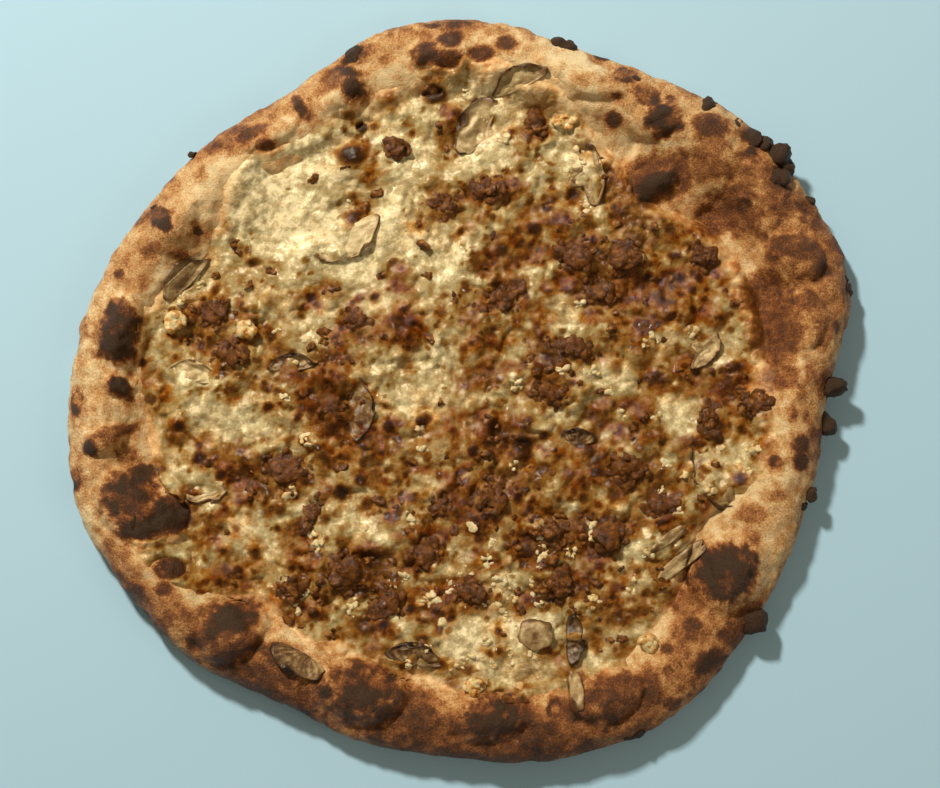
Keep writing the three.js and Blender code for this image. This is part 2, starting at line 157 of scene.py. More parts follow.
def crust_top(x, y):
    """Height of the dough's top in mm, blisters included."""
    angle = np.arctan2(y, x)
    inset = np.maximum(0, around(RIM_RADII, angle) - np.hypot(x, y))
    crest = crest_height(angle)
    bulge = BULGE_HEIGHT * crest
    near = np.clip((CREST_AT - inset) / CREST_AT, 0, 1)
    shoulder = bulge + (crest - bulge) * np.sqrt(1 - near**2)
    down = np.clip((inset - CREST_AT) / (RIM_WIDTH - CREST_AT), 0, 1)
    slope = FLOOR + (crest - FLOOR) * (0.5 + 0.5 * np.cos(math.pi * down))
    blister = np.zeros_like(inset)
    for spot in BLISTERS:
        blister = np.maximum(blister, spot[4] * within(x, y, spot) ** 0.8)
    inner = np.clip((FLAT_WIDTH - inset) / (FLAT_WIDTH - RIM_WIDTH), 0, 1)
    outer = np.clip(inset / CREST_AT, 0, 1)
    return np.where(inset < CREST_AT, shoulder, slope) + np.minimum(inner, outer) * blister


def scatter(cell, seed):
    """A repeatable random number from 0 to 1 for each whole-numbered cell."""
    mixed = cell @ np.array([374761393, 668265263, 1440662683]) + seed * 1274126177
    mixed = (mixed ^ (mixed >> 13)) * 1911520717
    mixed = (mixed ^ (mixed >> 16)) * 972663749
    return ((mixed ^ (mixed >> 15)) & 0xFFFFFF) / 0xFFFFFF


TWIST = np.array(Euler((0.6, 0.9, 0.4)).to_matrix())  # keeps the noise out of line with the pizza


def fractal(points, size, octaves=3, seed=0):
    """Smooth noise from about -1 to 1 at points in mm: lumps size mm apart, with finer and weaker ones."""
    total = np.zeros(len(points))
    for octave in range(octaves):
        place = points @ TWIST / size * 2**octave + 0.37 * octave
        first = np.floor(place).astype(np.int64)
        part = place - first
        part = part * part * (3 - 2 * part)
        for corner in itertools.product((0, 1), repeat=3):
            weight = np.prod(np.where(corner, part, 1 - part), axis=1)
            total += weight * (2 * scatter(first + corner, seed + octave) - 1) / 2**octave
    return total


def cells(points, size, seed=0):
    """Splits points in mm into grains size mm wide: for each point how far it is from the middle of its
    grain, in grain widths, and a random number that belongs to the grain."""
    place = points / size
    first = np.floor(place).astype(np.int64)
    nearest = np.full(len(points), 9.0)
    mark = np.zeros(len(points))
    for step in itertools.product((-1, 0, 1), repeat=3):
        cell = first + step
        middle = cell + np.stack([scatter(cell, seed + 10 + i) for i in range(3)], axis=1)
        distance = np.linalg.norm(place - middle, axis=1)
        closer = distance < nearest
        nearest = np.where(closer, distance, nearest)
        mark = np.where(closer, scatter(cell, seed + 13), mark)
    return nearest, mark


def dome(nearest, reach):
    """The round top of a grain, from 1 in its middle to 0 at its reach."""
    return np.sqrt(np.clip(1 - (nearest / reach) ** 2, 0, 1))


def crackled(points):
    """The cracked skin of charred places: grains 3.2 mm wide, from 1 on their tops to 0 between them."""
    return dome(cells(points, 3.2, 40)[0], 0.9)


def on_floor(x, y):
    """Points at x and y without height, for patterns that run straight down."""
    return np.stack([x, y, np.zeros_like(x)], axis=1)


def stamp(level, x, y, spots, ragged, core=0.7):
    """Burns spots with ragged edges into a level of browning: full depth out to a core share of each."""
    for spot in spots:
        reach = 1.6 * max(spot[2], spot[3])
        near = (np.abs(x - spot[0]) < reach) & (np.abs(y - spot[1]) < reach)
        share = distance_in(x[near], y[near], spot) + ragged[near]
        level[near] = np.maximum(level[near], spot[4] * (1 - ease(core, 1.25, share)))
    return level


def coordinates(mesh):
    """A mesh's vertices in mm, as an array."""
    points = np.empty(3 * len(mesh.vertices))
    mesh.vertices.foreach_get("co", points)
    return points.reshape(-1, 3) / MM


def move_to(mesh, points):
    mesh.vertices.foreach_set("co", (points * MM).ravel())
    mesh.update()


def normals(mesh):
    found = np.empty(3 * len(mesh.vertices))
    mesh.vertex_normals.foreach_get("vector", found)
    return found.reshape(-1, 3)


def paint(mesh, name, values):
    """Keeps a number for each vertex, which a material reads by name."""
    mesh.attributes.new(name, "FLOAT", "POINT").data.foreach_set("value", values.astype(np.float32))


def add_lump(shape, centre, size, turns, subdivisions):
    """Adds an egg-shaped lump to a bmesh: centre and half sizes in mm, turns in radians."""
    made = bmesh.ops.create_icosphere(shape, subdivisions=subdivisions, radius=1)["verts"]
    matrix = Matrix.LocRotScale(Vector(centre) * MM, Euler(turns), Vector(size) * MM)
    bmesh.ops.transform(shape, matrix=matrix, verts=made)


def roughen(mesh, lumps, grains, size, seed):
    """Pushes a mesh out and in by lumps mm, with round grains of a size in mm that stand out by grains mm.
    Returns a random number for each grain, raised in the creases between grains, which the colours read as
    painted shade there."""
    points = coordinates(mesh)
    bent = points + 0.3 * size * np.stack([fractal(points, size, 2, seed + i) for i in range(3)], axis=1)
    grain, mark = cells(bent, size, seed + 4)
    push = lumps * fractal(points, 2.4 * size, 2, seed + 5)
    push += grains * (dome(grain, 0.8) * (0.4 + 0.9 * mark) - 0.5)
    push += 0.3 * grains * fractal(points, 0.5 * size, 2, seed + 7)
    move_to(mesh, points + normals(mesh) * push[:, None])
    # The rise in the creases darkens the colour there: painted shade between the grains.
    return mark + 0.5 * ease(0.4, 0.8, grain)


def finish_piece(shape, name, material, slot, *nodes):
    """Turns a bmesh into a smooth piece that rides on the pizza and stands for its CAD nodes."""
    mesh = bpy.data.meshes.new(name)
    shape.to_mesh(mesh)
    shape.free()
    mesh.shade_smooth()
    mesh.materials.append(material)
    piece = bpy.data.objects.new(name, mesh)
    bpy.context.collection.objects.link(piece)
    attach(piece, "root")
    if nodes:
        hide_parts(*nodes)
    return piece


def linear(hex_colour):
    """An sRGB hex colour as linear values, opaque."""
    parts = [int(hex_colour[i : i + 2], 16) / 255 for i in (1, 3, 5)]
    return tuple(v / 12.92 if v <= 0.04045 else ((v + 0.055) / 1.055) ** 2.4 for v in parts) + (1.0,)


def set_inputs(node, inputs):
    """Gives a node its inputs: values, other nodes' outputs, or nodes that stand for their first output."""
    for name, value in inputs.items():
        if isinstance(value, bpy.types.Node):
            value = value.outputs[0]
        if isinstance(value, bpy.types.NodeSocket):
            node.id_data.links.new(value, node.inputs[name])
        else:
            node.inputs[name].default_value = value


def add_node(tree, kind, inputs=None, stops=None, **settings):
    """Adds a node with its settings, its inputs and the stops of its colour ramp."""
    made = tree.nodes.new("ShaderNode" + kind)
    for name, value in settings.items():
        setattr(made, name, value)
    set_inputs(made, inputs or {})
    if stops:
        ramp = made.color_ramp.elements
        for position, _ in stops[1:-1]:
            ramp.new(position)
        for element, (position, colour) in zip(ramp, stops):
            element.position = position
            element.color = linear(colour)
    return made


def new_material(name, *painted):
    """An empty material: what adds nodes to it, its shader, the object's coordinates, and the painted
    numbers that it reads."""
    material = bpy.data.materials.new(name)
    material.use_nodes = True
    material.node_tree.nodes.clear()
    add = functools.partial(add_node, material.node_tree)
    shader = add("BsdfPrincipled")
    add("OutputMaterial", {"Surface": shader})
    place = add("TexCoord").outputs["Object"]
    numbers = [add("Attribute", attribute_name=each).outputs["Fac"] for each in painted]
    return material, add, shader, place, *numbers


def uneven(add, level, *patterns):
    """Moves a painted level by patterns: pairs of a noise and how far it goes up and down."""
    moves = [add("MapRange", {0: noise, 1: 0.3, 2: 0.7, 3: -most, 4: most}) for noise, most in patterns]
    move = moves[0]
    for other in moves[1:]:
        move = add("Math", {0: move, 1: other}, operation="ADD")
    return add("Math", {0: level, 1: move}, operation="ADD", use_clamp=True)


# Baked dough: matt and sandy with flour where it is pale, drier and blacker where a blister met the flame.
# The mottling is 4 mm across and the sandy grains 0.8 mm, and near the cheese fat soaked into it.
DOUGH_COLOURS = [
    (0.0, "#ecdbb4"), (0.14, "#d6b383"), (0.26, "#be8f5a"), (0.38, "#9a6536"), (0.50, "#714321"),
    (0.64, "#4d2d17"), (0.80, "#3a2413"), (1.0, "#38281a"),
]  # from raw flour to char


def baked_dough():
    material, add, shader, place, bake, fat = new_material("baked_wheat_dough", "bake", "fat")
    mottle = add("TexNoise", {"Vector": place, "Scale": 1 / (4 * MM), "Detail": 5, "Roughness": 0.6})
    sand = add("TexNoise", {"Vector": place, "Scale": 1 / (0.8 * MM), "Detail": 3, "Roughness": 0.8})
    level = uneven(add, bake, (mottle, 0.11), (sand, 0.15))
    colour = add("ValToRGB", {0: level}, DOUGH_COLOURS)
    wet = add("MapRange", {0: mottle, 1: 0.35, 2: 0.6, 3: 0.2, 4: 1.0})
    soaked = add("Math", {0: fat, 1: wet}, operation="MULTIPLY", use_clamp=True)
    amber = add("Mix", {0: soaked, 6: colour, 7: linear("#e4bc80")}, data_type="RGBA", blend_type="MULTIPLY")
    rough = add("MapRange", {0: soaked, 1: 0.1, 2: 0.9, 3: 0.5, 4: 0.25})
    low = add("Bump", {"Height": mottle, "Distance": 0.9 * MM, "Strength": 0.6})
    skin = add("Bump", {"Height": sand, "Distance": 0.9 * MM, "Strength": 0.9, "Normal": low})
    set_inputs(shader, {"Base Color": amber.outputs[2], "Roughness": rough, "Normal": skin, "IOR": 1.45})
    return material


DOUGH = baked_dough()


def rim_profile():
    """The dough's section from under the middle out round the rim and back to the middle on top, as pairs
    of the distance inside the edge and, under the bulge, the share of the crest's height."""
    under = [(inset, 0.0) for inset in (MIDDLE, 150, 110, 80, 60, 45, 34, 26, 19, 14)]
    side = []
    for i in range(14):
        t = i / 14 * math.pi / 2
        side.append((FOOT_AT * (1 - math.sin(t)), BULGE_HEIGHT * (1 - math.cos(t))))
    shoulder = [(CREST_AT * (1 - math.cos(i / 20 * math.pi / 2)), 1.0) for i in range(20)]
    slope = [(CREST_AT + (RIM_WIDTH - CREST_AT) * i / 32, 1.0) for i in range(33)]
    floor = [(RIM_WIDTH + 1.3 * i, 1.0) for i in range(1, 20)]
    floor += [(inset, 1.0) for inset in (FLAT_WIDTH, 90, MIDDLE)]
    return under + side + shoulder + slope + floor


def scorched(x, y, points, inset):
    """How far each point of the dough is baked: its toast all round, flecks and charred blisters."""
    flat = on_floor(x, y)
    angle = np.arctan2(y, x)
    ragged = 0.2 * fractal(flat, 6, 3, 1) + 0.16 * fractal(flat, 1.6, 2, 4)
    toast = around(RIM_TOAST, angle) + 0.16 * fractal(flat, 22, 3, 7) - 0.04 * ease(12, 30, inset)
    toast += 0.2 * ease(-0.1, 0.7, fractal(points, 8, 3, 9)) - 0.05
    toast -= 0.36 * ease(-14, 2, cheese_depth(x, y) + 6 * fractal(flat, 9, 3, 12))
    bake = np.clip(toast, 0, 0.6)
    for size, seed in ((9, 20), (5, 24), (3, 28)):
        fleck, mark = cells(points, size, seed)
        chosen = mark < 0.12 + 0.55 * np.clip(toast, 0, 0.6)
        level = bake + (0.06 + 0.34 * mark) * chosen * (1 - ease(0.1, 0.5, fleck + 0.7 * ragged))
        bake = np.maximum(bake, np.minimum(level, 0.7))
    halos = [(*s[:2], s[2] + 4, s[3] + 4, 0.4 * s[4], *s[5:]) for s in RIM_SCORCH_AND_SHADE]
    bake = stamp(bake, x, y, halos, 2 * ragged, 0.2)
    bake = stamp(bake, x, y, RIM_SCORCH_AND_SHADE, ragged, 0.5)
    return bake - 0.45 * ease(0.55, 0.8, bake) * ease(-0.2, 0.8, fractal(flat, 6, 4, 31))


def dough_base():
    shape = bmesh.new()
    profile = [shape.verts.new((MIDDLE - inset, 0, share)) for inset, share in rim_profile()]
    edges = [shape.edges.new(pair) for pair in zip(profile, profile[1:])]
    bmesh.ops.spin(
        shape, geom=profile + edges, cent=(0, 0, 0), axis=(0, 0, 1), angle=math.tau, steps=SPOKES,
        use_merge=True,
    )
    poles = [vert for vert in shape.verts if vert.co.xy.length < 1e-5]
    bmesh.ops.remove_doubles(shape, verts=poles, dist=1e-5)
    bmesh.ops.recalc_face_normals(shape, faces=shape.faces)
    bmesh.ops.scale(shape, vec=(MM, MM, MM), verts=shape.verts)
    piece = finish_piece(shape, "dough_base", DOUGH, "crust", "crust")
    mesh = piece.data
    points = coordinates(mesh)
    angle = np.arctan2(points[:, 1], points[:, 0])
    inset = MIDDLE - np.hypot(points[:, 0], points[:, 1])
    share = points[:, 2]
    outer = around(RIM_RADII, angle)
    flat = np.maximum(0, inset - FLAT_WIDTH) / (MIDDLE - FLAT_WIDTH)
    radius = np.where(inset > FLAT_WIDTH, (outer - FLAT_WIDTH) * (1 - flat), outer - inset)
    x, y = radius * np.cos(angle), radius * np.sin(angle)
    top = share > 0.99
    z = np.where(top, crust_top(x, y), crest_height(angle) * share)
    points = np.stack([x, y, z], axis=1)
    move_to(mesh, points)

    # The skin is uneven, creased round its blisters, and rough where it charred.
    bake = scorched(x, y, points, inset)
    crease = np.zeros_like(x)
    for spot in BLISTERS:
        crease = np.maximum(crease, 1 - np.abs(distance_in(x, y, spot) - 1) * spot[3] / 2.2)
    push = 1.1 * fractal(points, 15, 2, 41) + 0.6 * fractal(points, 4.5, 3, 44) - 0.4
    push += 0.9 * ease(0.5, 0.9, bake) * (crackled(points) - 0.6)
    push -= 0.9 * crease * ease(-0.5, 0.3, fractal(points, 9, 2, 47))
    side = points[:, 2] > 1
    push = np.where(top, push * ease(FLAT_WIDTH, RIM_WIDTH + 6, inset), np.where(side, 0.6 * push, 0))
    moved = points + normals(mesh) * push[:, None]
    moved[:, 2] -= 0.4 * np.maximum(0, moved[:, 2] - 21)
    length, width = HALF_SIZES
    move_to(mesh, np.clip(moved, (-length, -width, 0), (length, width, TALLEST)))
    under = 0.28 + 0.3 * fractal(points, 10, 3, 50)
    paint(mesh, "bake", np.where(top, bake, np.where(points[:, 2] > 2, bake, under)))
    depth = cheese_depth(x, y) + 5 * fractal(points, 12, 2, 53)
    paint(mesh, "fat", np.where(top, 0.6 * ease(-14, 3, depth) * (1 - ease(0.5, 0.8, bake)), 0))


dough_base()

# Beads: gas bubbles at the very edge that burnt to hard black knobs, each x, y, height of its centre, half
# length, half width, and the way it points in degrees.
BEADS = [
    (101, 114, 13, 4.4, 3.8, 48), (112, 107, 12, 3.8, 3.4, 44), (119, 101, 13, 4.2, 4, 40),
    (107, 111, 12, 3, 2.6, 0), (130, 95, 14, 5.2, 4.6, 30), (133, 90, 13, 3, 3, 0),
    (130, 85, 16, 4.5, 4, 0), (125, 99, 13, 3.2, 3, 0), (156, 39, 9, 4, 4, 0), (155, 45, 9, 3, 2.4, 0),
    (150, 0, 11, 8, 4.6, 5), (148, -15, 9, 5.4, 4, -60), (40, 141, 11, 4.2, 3.2, 0),
    (44, 140, 12, 2.6, 2.4, 0), (-44, 136, 11, 5, 3.4, 30), (68, -139, 9, 5.2, 4, 0),
    (118, -95, 9, 5.4, 4.6, 60), (142, 76, 12, 2.6, 2.4, 0), (142, -44, 10, 3, 2.4, 70),
    (139, -48, 9, 2.2, 2, 0), (72, 124, 14, 4, 2.6, -40), (-125, 73, 12, 3, 2, 50),
    (-110, 96, 11, 2.4, 1.8, 40),
]


def charred_beads():
    shape = bmesh.new()
    for x, y, z, length, width, turn in BEADS:
        add_lump(shape, (x, y, z), (length, width, 0.9 * width), (0, 0, math.radians(turn)), 3)
    piece = finish_piece(shape, "charred_beads", DOUGH, "crust")
    mark = roughen(piece.data, 1.6, 1.0, 2.0, 60)
    # The creases between the knobs' grains come out darker: painted shade.
    paint(piece.data, "bake", 0.78 + 0.2 * mark)
    paint(piece.data, "fat", np.full(len(mark), 0.25))


charred_beads()

# ---- Melted cheese ------------------------------------------------------------------------------------
# Mozzarella that melted into one sheet over the whole dish of the dough and ran a little way up the rim.
# Its bubbles browned from gold to black, and the sausage's fat lies on it in amber pools.

# Sizes of the sheet in mm.
CHEESE = 3.8  # its thickness
CELL = 0.75  # between its points
SHEET = 140  # half the width of the square it is cut from
DIP = 3.5  # over which its edge sinks into the dough

# Mounds and hollows, by their rise in mm.
MOUNDS = [
    (-78, 84, 30, 24, 3.4, 10), (-36, 94, 20, 11, 2.4, 15), (-44, 73, 12, 7, -2.6, 10),
    (47, 106, 16, 9, 2.4, -10), (42, 96, 11, 6, -1.6), (80, 66, 18, 13, 1.2, 40), (108, -36, 15, 15, 1.8),
    (-34, 10, 22, 18, 1), (20, -104, 26, 10, 1.2), (-100, 0, 18, 14, 1),
]

# Thick, pale places, by strength. The broad one round (-45, 70) is partly paler cheese and partly a painted
# pool of light over the upper left, the side the key light falls from.
PALE = [
    (-84, 82, 24, 22, 1.2, -20), (-60, 95, 20, 13, 1.5), (-75, 60, 14, 9, 1.2), (-30, 62, 17, 11, 1.2),
    (-45, 50, 12, 9, 1.1), (-50, 64, 18, 12, 1.4), (-25, 88, 13, 9, 0.6), (10, 98, 13, 10, 0.9),
    (20, 112, 9, 7, 0.9), (45, 112, 12, 7, 0.6), (0, 122, 10, 6, 0.6), (45, 90, 13, 9, 0.9),
    (-15, 105, 9, 12, 0.7), (-100, -13, 16, 9, 0.9), (-40, -50, 14, 13, 0.7), (-35, 15, 10, 12, 0.6),
    (-15, -3, 14, 10, 0.7, 20), (25, 42, 9, 8, 0.7), (40, 30, 10, 8, 0.5), (62, 3, 12, 8, 0.8),
    (85, 20, 14, 9, 0.5), (105, 15, 13, 11, 0.7), (88, -12, 12, 10, 0.8), (112, -28, 9, 11, 0.8),
    (125, -60, 8, 10, 0.6), (10, -105, 20, 11, 0.8), (30, -97, 8, 7, 0.9), (20, -115, 22, 8, 0.6),
    (-85, -64, 12, 10, 0.7), (-5, -70, 8, 7, 0.6), (70, -68, 9, 8, 0.8), (75, -102, 10, 8, 0.7),
    (55, -110, 12, 6, 0.6), (-118, 28, 7, 7, 0.8), (-60, 22, 14, 8, 0.6, 20), (-52, -100, 14, 6, 0.5, -10),
    (-10, 48, 12, 8, 0.7), (28, -8, 9, 6, 0.5), (50, 72, 10, 6, 0.5), (-70, 42, 14, 7, 0.7),
    # (-45, 70, 60, 50, ...) below is partly paler cheese and partly a painted pool of light on the upper
    # left.
    (-45, 70, 60, 50, 0.35), (-110, 50, 26, 40, 0.4), (100, -62, 10, 8, 0.6), (-8, -28, 10, 6, 0.5),
]

# Browned areas, by depth of colour. Three are painted shade rather than browning: in the hollow at (-46,
# 74), beside the mushroom slice at (-6, 106), and at the shaded foot of the upper right rim at (94, 70).
BROWNED_AND_SHADED = [
    (-100, 26, 20, 11, 0.6, 10), (-52, -8, 16, 17, 0.7), (-42, -20, 10, 11, 0.7), (-78, -38, 17, 12, 0.7),
    (-47, -77, 20, 14, 0.75, -10), (-66, -62, 10, 8, 0.6), (20, 56, 14, 8, 0.65), (58, 48, 22, 14, 0.75),
    (18, 37, 13, 10, 0.7, 30), (36, 8, 10, 18, 0.7, 20), (76, 4, 8, 6, 0.55), (116, 2, 12, 12, 0.65),
    (14, -22, 15, 10, 0.65, -20), (8, -50, 12, 13, 0.7), (-15, -66, 10, 12, 0.65),
    (68, -37, 18, 10, 0.7, -15), (50, -62, 20, 13, 0.75), (28, -66, 12, 10, 0.65), (88, -56, 10, 8, 0.65),
    (42, -80, 12, 10, 0.7), (0, -86, 16, 7, 0.6), (-70, -92, 12, 8, 0.6), (45, -32, 16, 16, 0.5),
    (30, -45, 18, 12, 0.5), (98, 54, 7, 8, 0.6), (10, 80, 16, 6, 0.55, 10), (30, 108, 6, 8, 0.5),
    (80, 40, 16, 9, 0.5), (-102, -28, 14, 6, 0.45), (-22, 24, 9, 8, 0.6), (-45, 22, 9, 7, 0.5),
    (-88, 56, 16, 4, 0.45, -45), (-103, 72, 14, 4, 0.5, 75), (-45, 95, 9, 7, 0.65),
    (102, -18, 6, 12, 0.6, 10), (60, -90, 16, 8, 0.55), (0, -32, 14, 10, 0.4), (-20, -24, 8, 6, 0.4),
    # (-6, 106, ...) and (-46, 74, ...) below are painted shade: beside a mushroom slice and in a hollow.
    (-8, 74, 10, 6, 0.5), (96, 30, 14, 8, 0.4), (-6, 106, 7, 10, 0.4), (-46, 74, 10, 6, 0.5),
    (12, 20, 10, 8, 0.5), (51, 5, 6, 12, 0.5), (116, 38, 10, 12, 0.5), (-54, -28, 9, 8, 0.5),
    (-28, -32, 10, 8, 0.45), (-104, -57, 9, 9, 0.42), (-47, -98, 15, 7, 0.5), (-92, -74, 10, 8, 0.42),
    (-50, 15, 10, 8, 0.45), (95, -28, 10, 10, 0.4), (110, -55, 14, 6, 0.42), (84, -86, 12, 8, 0.45),
    # (94, 70, ...) below is painted shade at the shaded foot of the rim.
    (62, 82, 8, 8, 0.45), (94, 70, 12, 12, 0.62), (15, -40, 12, 8, 0.6), (-25, 48, 8, 8, 0.4),
    (10, 50, 8, 6, 0.5), (65, -108, 10, 6, 0.45), (28, -88, 14, 5, 0.45), (75, 30, 13, 10, 0.65),
    (90, 8, 12, 8, 0.45), (8, 4, 14, 6, 0.5), (-78, 4, 10, 7, 0.5), (-50, -28, 8, 8, 0.55),
    (-28, -48, 10, 8, 0.45), (58, -8, 8, 10, 0.5), (120, -50, 8, 8, 0.45), (45, 68, 14, 6, 0.5),
    (65, 92, 10, 6, 0.45), (32, 54, 8, 6, 0.55), (2, 34, 8, 10, 0.5), (-90, -42, 10, 6, 0.45),
    (-10, -92, 12, 6, 0.5), (75, -72, 10, 8, 0.45), (30, -8, 6, 8, 0.5), (72, -18, 14, 8, 0.5),
    (70, 70, 14, 8, 0.45), (-45, 17, 18, 10, 0.62, 10), (110, -50, 16, 8, 0.5), (-110, -45, 8, 6, 0.4),
]

# Amber fat, by strength.
AMBER = [
    (15, -40, 45, 30, 0.8), (55, -50, 35, 30, 0.8), (-58, -72, 26, 20, 0.9), (-50, -8, 20, 22, 0.8),
    (-100, 25, 24, 18, 0.8), (40, 45, 40, 24, 0.7), (95, 10, 28, 30, 0.45), (90, 42, 18, 14, 0.7),
    (-85, -40, 26, 18, 0.8), (10, 75, 30, 14, 0.4), (-60, 30, 30, 14, 0.45), (-20, -75, 30, 20, 0.7),
    (60, -95, 30, 16, 0.6), (-100, 68, 12, 26, 0.45, -20), (100, -45, 20, 20, 0.5), (0, 10, 40, 30, 0.3),
]

# Burnt bubbles, by depth of colour, and the number of small ones that are strewn between them.
SMALL_BUBBLES = 280
BUBBLES = [
    (-45, 95, 7, 5.5, 0.8), (-26, 25, 7, 7, 0.6), (-131, 10, 2.5, 2.5, 0.95), (-115, -16, 3, 3, 0.8),
    (-107, -29, 4, 4, 0.85), (-98, -36, 3, 3, 0.75), (-79, -8, 2.5, 2.5, 0.7), (-67, -13, 2.5, 2.5, 0.75),
    (-65, -22, 2.5, 2.5, 0.75), (-84, -68, 3.5, 3.5, 0.7), (-97, -67, 2, 2, 0.7), (-69, -74, 2, 2, 0.7),
    (-106, -86, 4, 4, 0.95), (-49, -43, 4.5, 4.5, 0.95), (-30, -16, 3, 3, 0.75), (-17, -14, 2.5, 2.5, 0.7),
    (-41, -38, 3, 3, 0.75), (-19, -44, 2, 2, 0.7), (-33, -47, 3, 3, 0.75), (-60, -92, 3, 3, 0.75),
    (-21, -90, 3, 3, 0.75), (30, 65, 4, 4, 0.75), (35, 74, 3, 3, 0.95), (87, 54, 4, 2, 0.75),
    (76, 45, 4.5, 4.5, 0.8), (90, 45, 3, 3, 0.75), (97, 45, 3, 3, 0.75), (82, 36, 3.5, 3.5, 0.75),
    (13, -16, 5, 5, 0.85), (25, -23, 5, 7, 0.85), (5, -26, 3, 3, 0.8), (33, -20, 2.5, 2.5, 0.75),
    (38, -26, 2, 2, 0.7), (48, -23, 3, 3, 0.75), (54, -35, 3, 3, 0.75), (66, -8, 2, 2, 0.7),
    (75, -12, 2.5, 2.5, 0.75), (28, -50, 2.5, 2.5, 0.75), (15, -107, 2, 2, 0.6), (15, -99, 1.5, 1.5, 0.6),
    (113, -38, 4, 4, 0.7), (-44, 70, 5, 4, 0.6), (46, 80, 3.5, 3, 0.75), (-12, 121, 5, 4, 0.8),
    (-32, -97, 3, 3, 0.8), (-3, -18, 3, 2.5, 0.55), (-8, -44, 3, 3, 0.75), (7, -62, 3, 3, 0.7),
    (93, -97, 4, 4, 0.7), (40, -4, 3, 3, 0.7), (-62, 37, 3, 2.5, 0.75), (-36, 37, 3, 2.5, 0.75, 20),
]


def cheese_level(x, y):
    """Height of the cheese's smooth top in mm."""
    waves = 0.5 * np.sin(x / 9 + 1) * np.cos(y / 11) + 0.4 * np.sin(x / 17 - y / 7)
    mounds = sum(mound[4] * within(x, y, mound) for mound in MOUNDS)
    return np.maximum(FLOOR + CHEESE + waves + mounds, crust_top(x, y) + 1)


def spread(x, y, spots, ragged):
    """How strongly each point lies in one of several soft-edged areas."""
    level = np.zeros_like(x)
    for spot in spots:
        share = distance_in(x, y, spot) + ragged
        level = np.maximum(level, spot[4] * (1 - ease(0.55, 1.2, share)))
    return level


def bend(flat, reach, size, seed):
    """Floor points shifted by up to about reach mm, so that what is laid out on them looks melted."""
    return flat + reach * on_floor(fractal(flat, size, 2, seed), fractal(flat, size, 2, seed + 2))


def pillows(flat):
    """The soft folds that cheese melts into: 0 in the creases between them, about 1 on their tops."""
    wide = np.abs(fractal(bend(flat, 5, 14, 60), 13, 1, 66))
    small = np.abs(fractal(bend(flat, 2.5, 6, 62), 6, 1, 68))
    return np.clip(1.3 * wide + 0.8 * small, 0, 1.4)


def cheese_heave(x, y):
    """How far the cheese's lumps stand over its smooth level, in mm: pillows, curdled bits in the browned
    areas, and a low dome on each burnt bubble."""
    flat = on_floor(x, y)
    ragged = 0.5 * fractal(flat, 8, 3, 64)
    curd, mark = cells(bend(flat, 1.5, 4, 72), 3.6, 69)
    crumbly = spread(x, y, BROWNED_AND_SHADED, ragged)
    pale = spread(x, y, PALE, ragged)
    string = 0.4 - np.abs(fractal(bend(flat, 2, 6, 74), 4, 2, 76))
    heave = (3.6 - 2.4 * pale) * (pillows(flat) - 0.5) + (0.8 + pale) * fractal(flat, 16, 2, 78)
    heave += 0.7 * (1 - pale) * string
    heave += (0.1 + 1.1 * crumbly) * (dome(curd, 0.75) * (0.2 + mark) - 0.4)
    heave += 0.5 * pale + 0.3 * crumbly
    for spot in BUBBLES:
        heave += 0.5 * np.sqrt(within(x, y, spot))
    charred = stamp(np.zeros_like(x), x, y, RIM_SCORCH_AND_SHADE, 0 * x)
    return heave * (1 - 0.8 * charred) + charred * (0.5 + 0.9 * crackled(flat))


def cheese_top(x, y):
    """Height of the cheese with its lumps, in mm. Its ragged edge sinks into the dough, and so does the
    sheet where a charred blister stood up through it."""
    depth = cheese_depth(x, y)
    ragged = fractal(on_floor(x, y), 8, 3, 64)
    dough = crust_top(x, y)
    charred = stamp(np.zeros_like(x), x, y, RIM_SCORCH_AND_SHADE, 0.15 * ragged) * ease(2, 4, dough - FLOOR)
    above = ease(-DIP, DIP, depth + ragged) * (1 - ease(0.3, 0.8, charred))
    top = cheese_level(x, y) + cheese_heave(x, y) * ease(-2, 7, depth)
    return dough - 1.6 + (top - dough + 1.6) * above


def bed_top(x, y):
    """What a topping rests on: cheese, or bare dough outside it."""
    return np.where(cheese_depth(x, y) > 0, cheese_top(x, y), crust_top(x, y))


def strewn(rng, count, areas, elsewhere, edge):
    """Random places on the cheese, at least edge mm inside it, each taken with the chance that the areas
    give it, or elsewhere outside them."""
    kept = []
    while len(kept) < count:
        x, y = rng.uniform(-135, 130, 4 * count), rng.uniform(-125, 128, 4 * count)
        chance = elsewhere * (1 - spread(x, y, PALE, 0)) + spread(x, y, areas, 0)
        taken = (rng.random(4 * count) < chance) & (cheese_depth(x, y) > edge)
        taken &= spread(x, y, RIM_SCORCH_AND_SHADE, 0) < 0.2
        kept.extend(zip(x[taken], y[taken]))
    return np.array(kept[:count]).T


def strewn_bubbles():
    """Small browned bubbles all over the cheese, darker in the browned areas."""
    rng = np.random.default_rng(11)
    x, y = strewn(rng, SMALL_BUBBLES, BROWNED_AND_SHADED, 0.25, 0)
    size = rng.triangular(0.8, 1.5, 3.4, SMALL_BUBBLES)
    depth = np.clip(rng.uniform(0.3, 0.6, SMALL_BUBBLES) + 0.25 * spread(x, y, BROWNED_AND_SHADED, 0), 0, 0.75)
    turn = rng.uniform(0, 180, SMALL_BUBBLES)
    return list(zip(x, y, 1.2 * size, size, depth, turn))


# Melted mozzarella: a milky solid that light enters, so it glows a little, under a film of clear fat. It is
# greenish cream where it stayed thick, and fat tints the thin places amber. The mottling is 3.5 mm across,
# and the finest grain, which beads the fat, 1 mm. At the sheet's edge it turns into the dough's colours.
CHEESE_COLOURS = [
    (0.0, "#f2eac8"), (0.05, "#d2c8a2"), (0.11, "#b9ad88"), (0.20, "#a28f60"), (0.32, "#906e34"),
    (0.45, "#6e4a1c"), (0.60, "#4b2e0e"), (0.80, "#341e0b"), (1.0, "#2c1d12"),
]


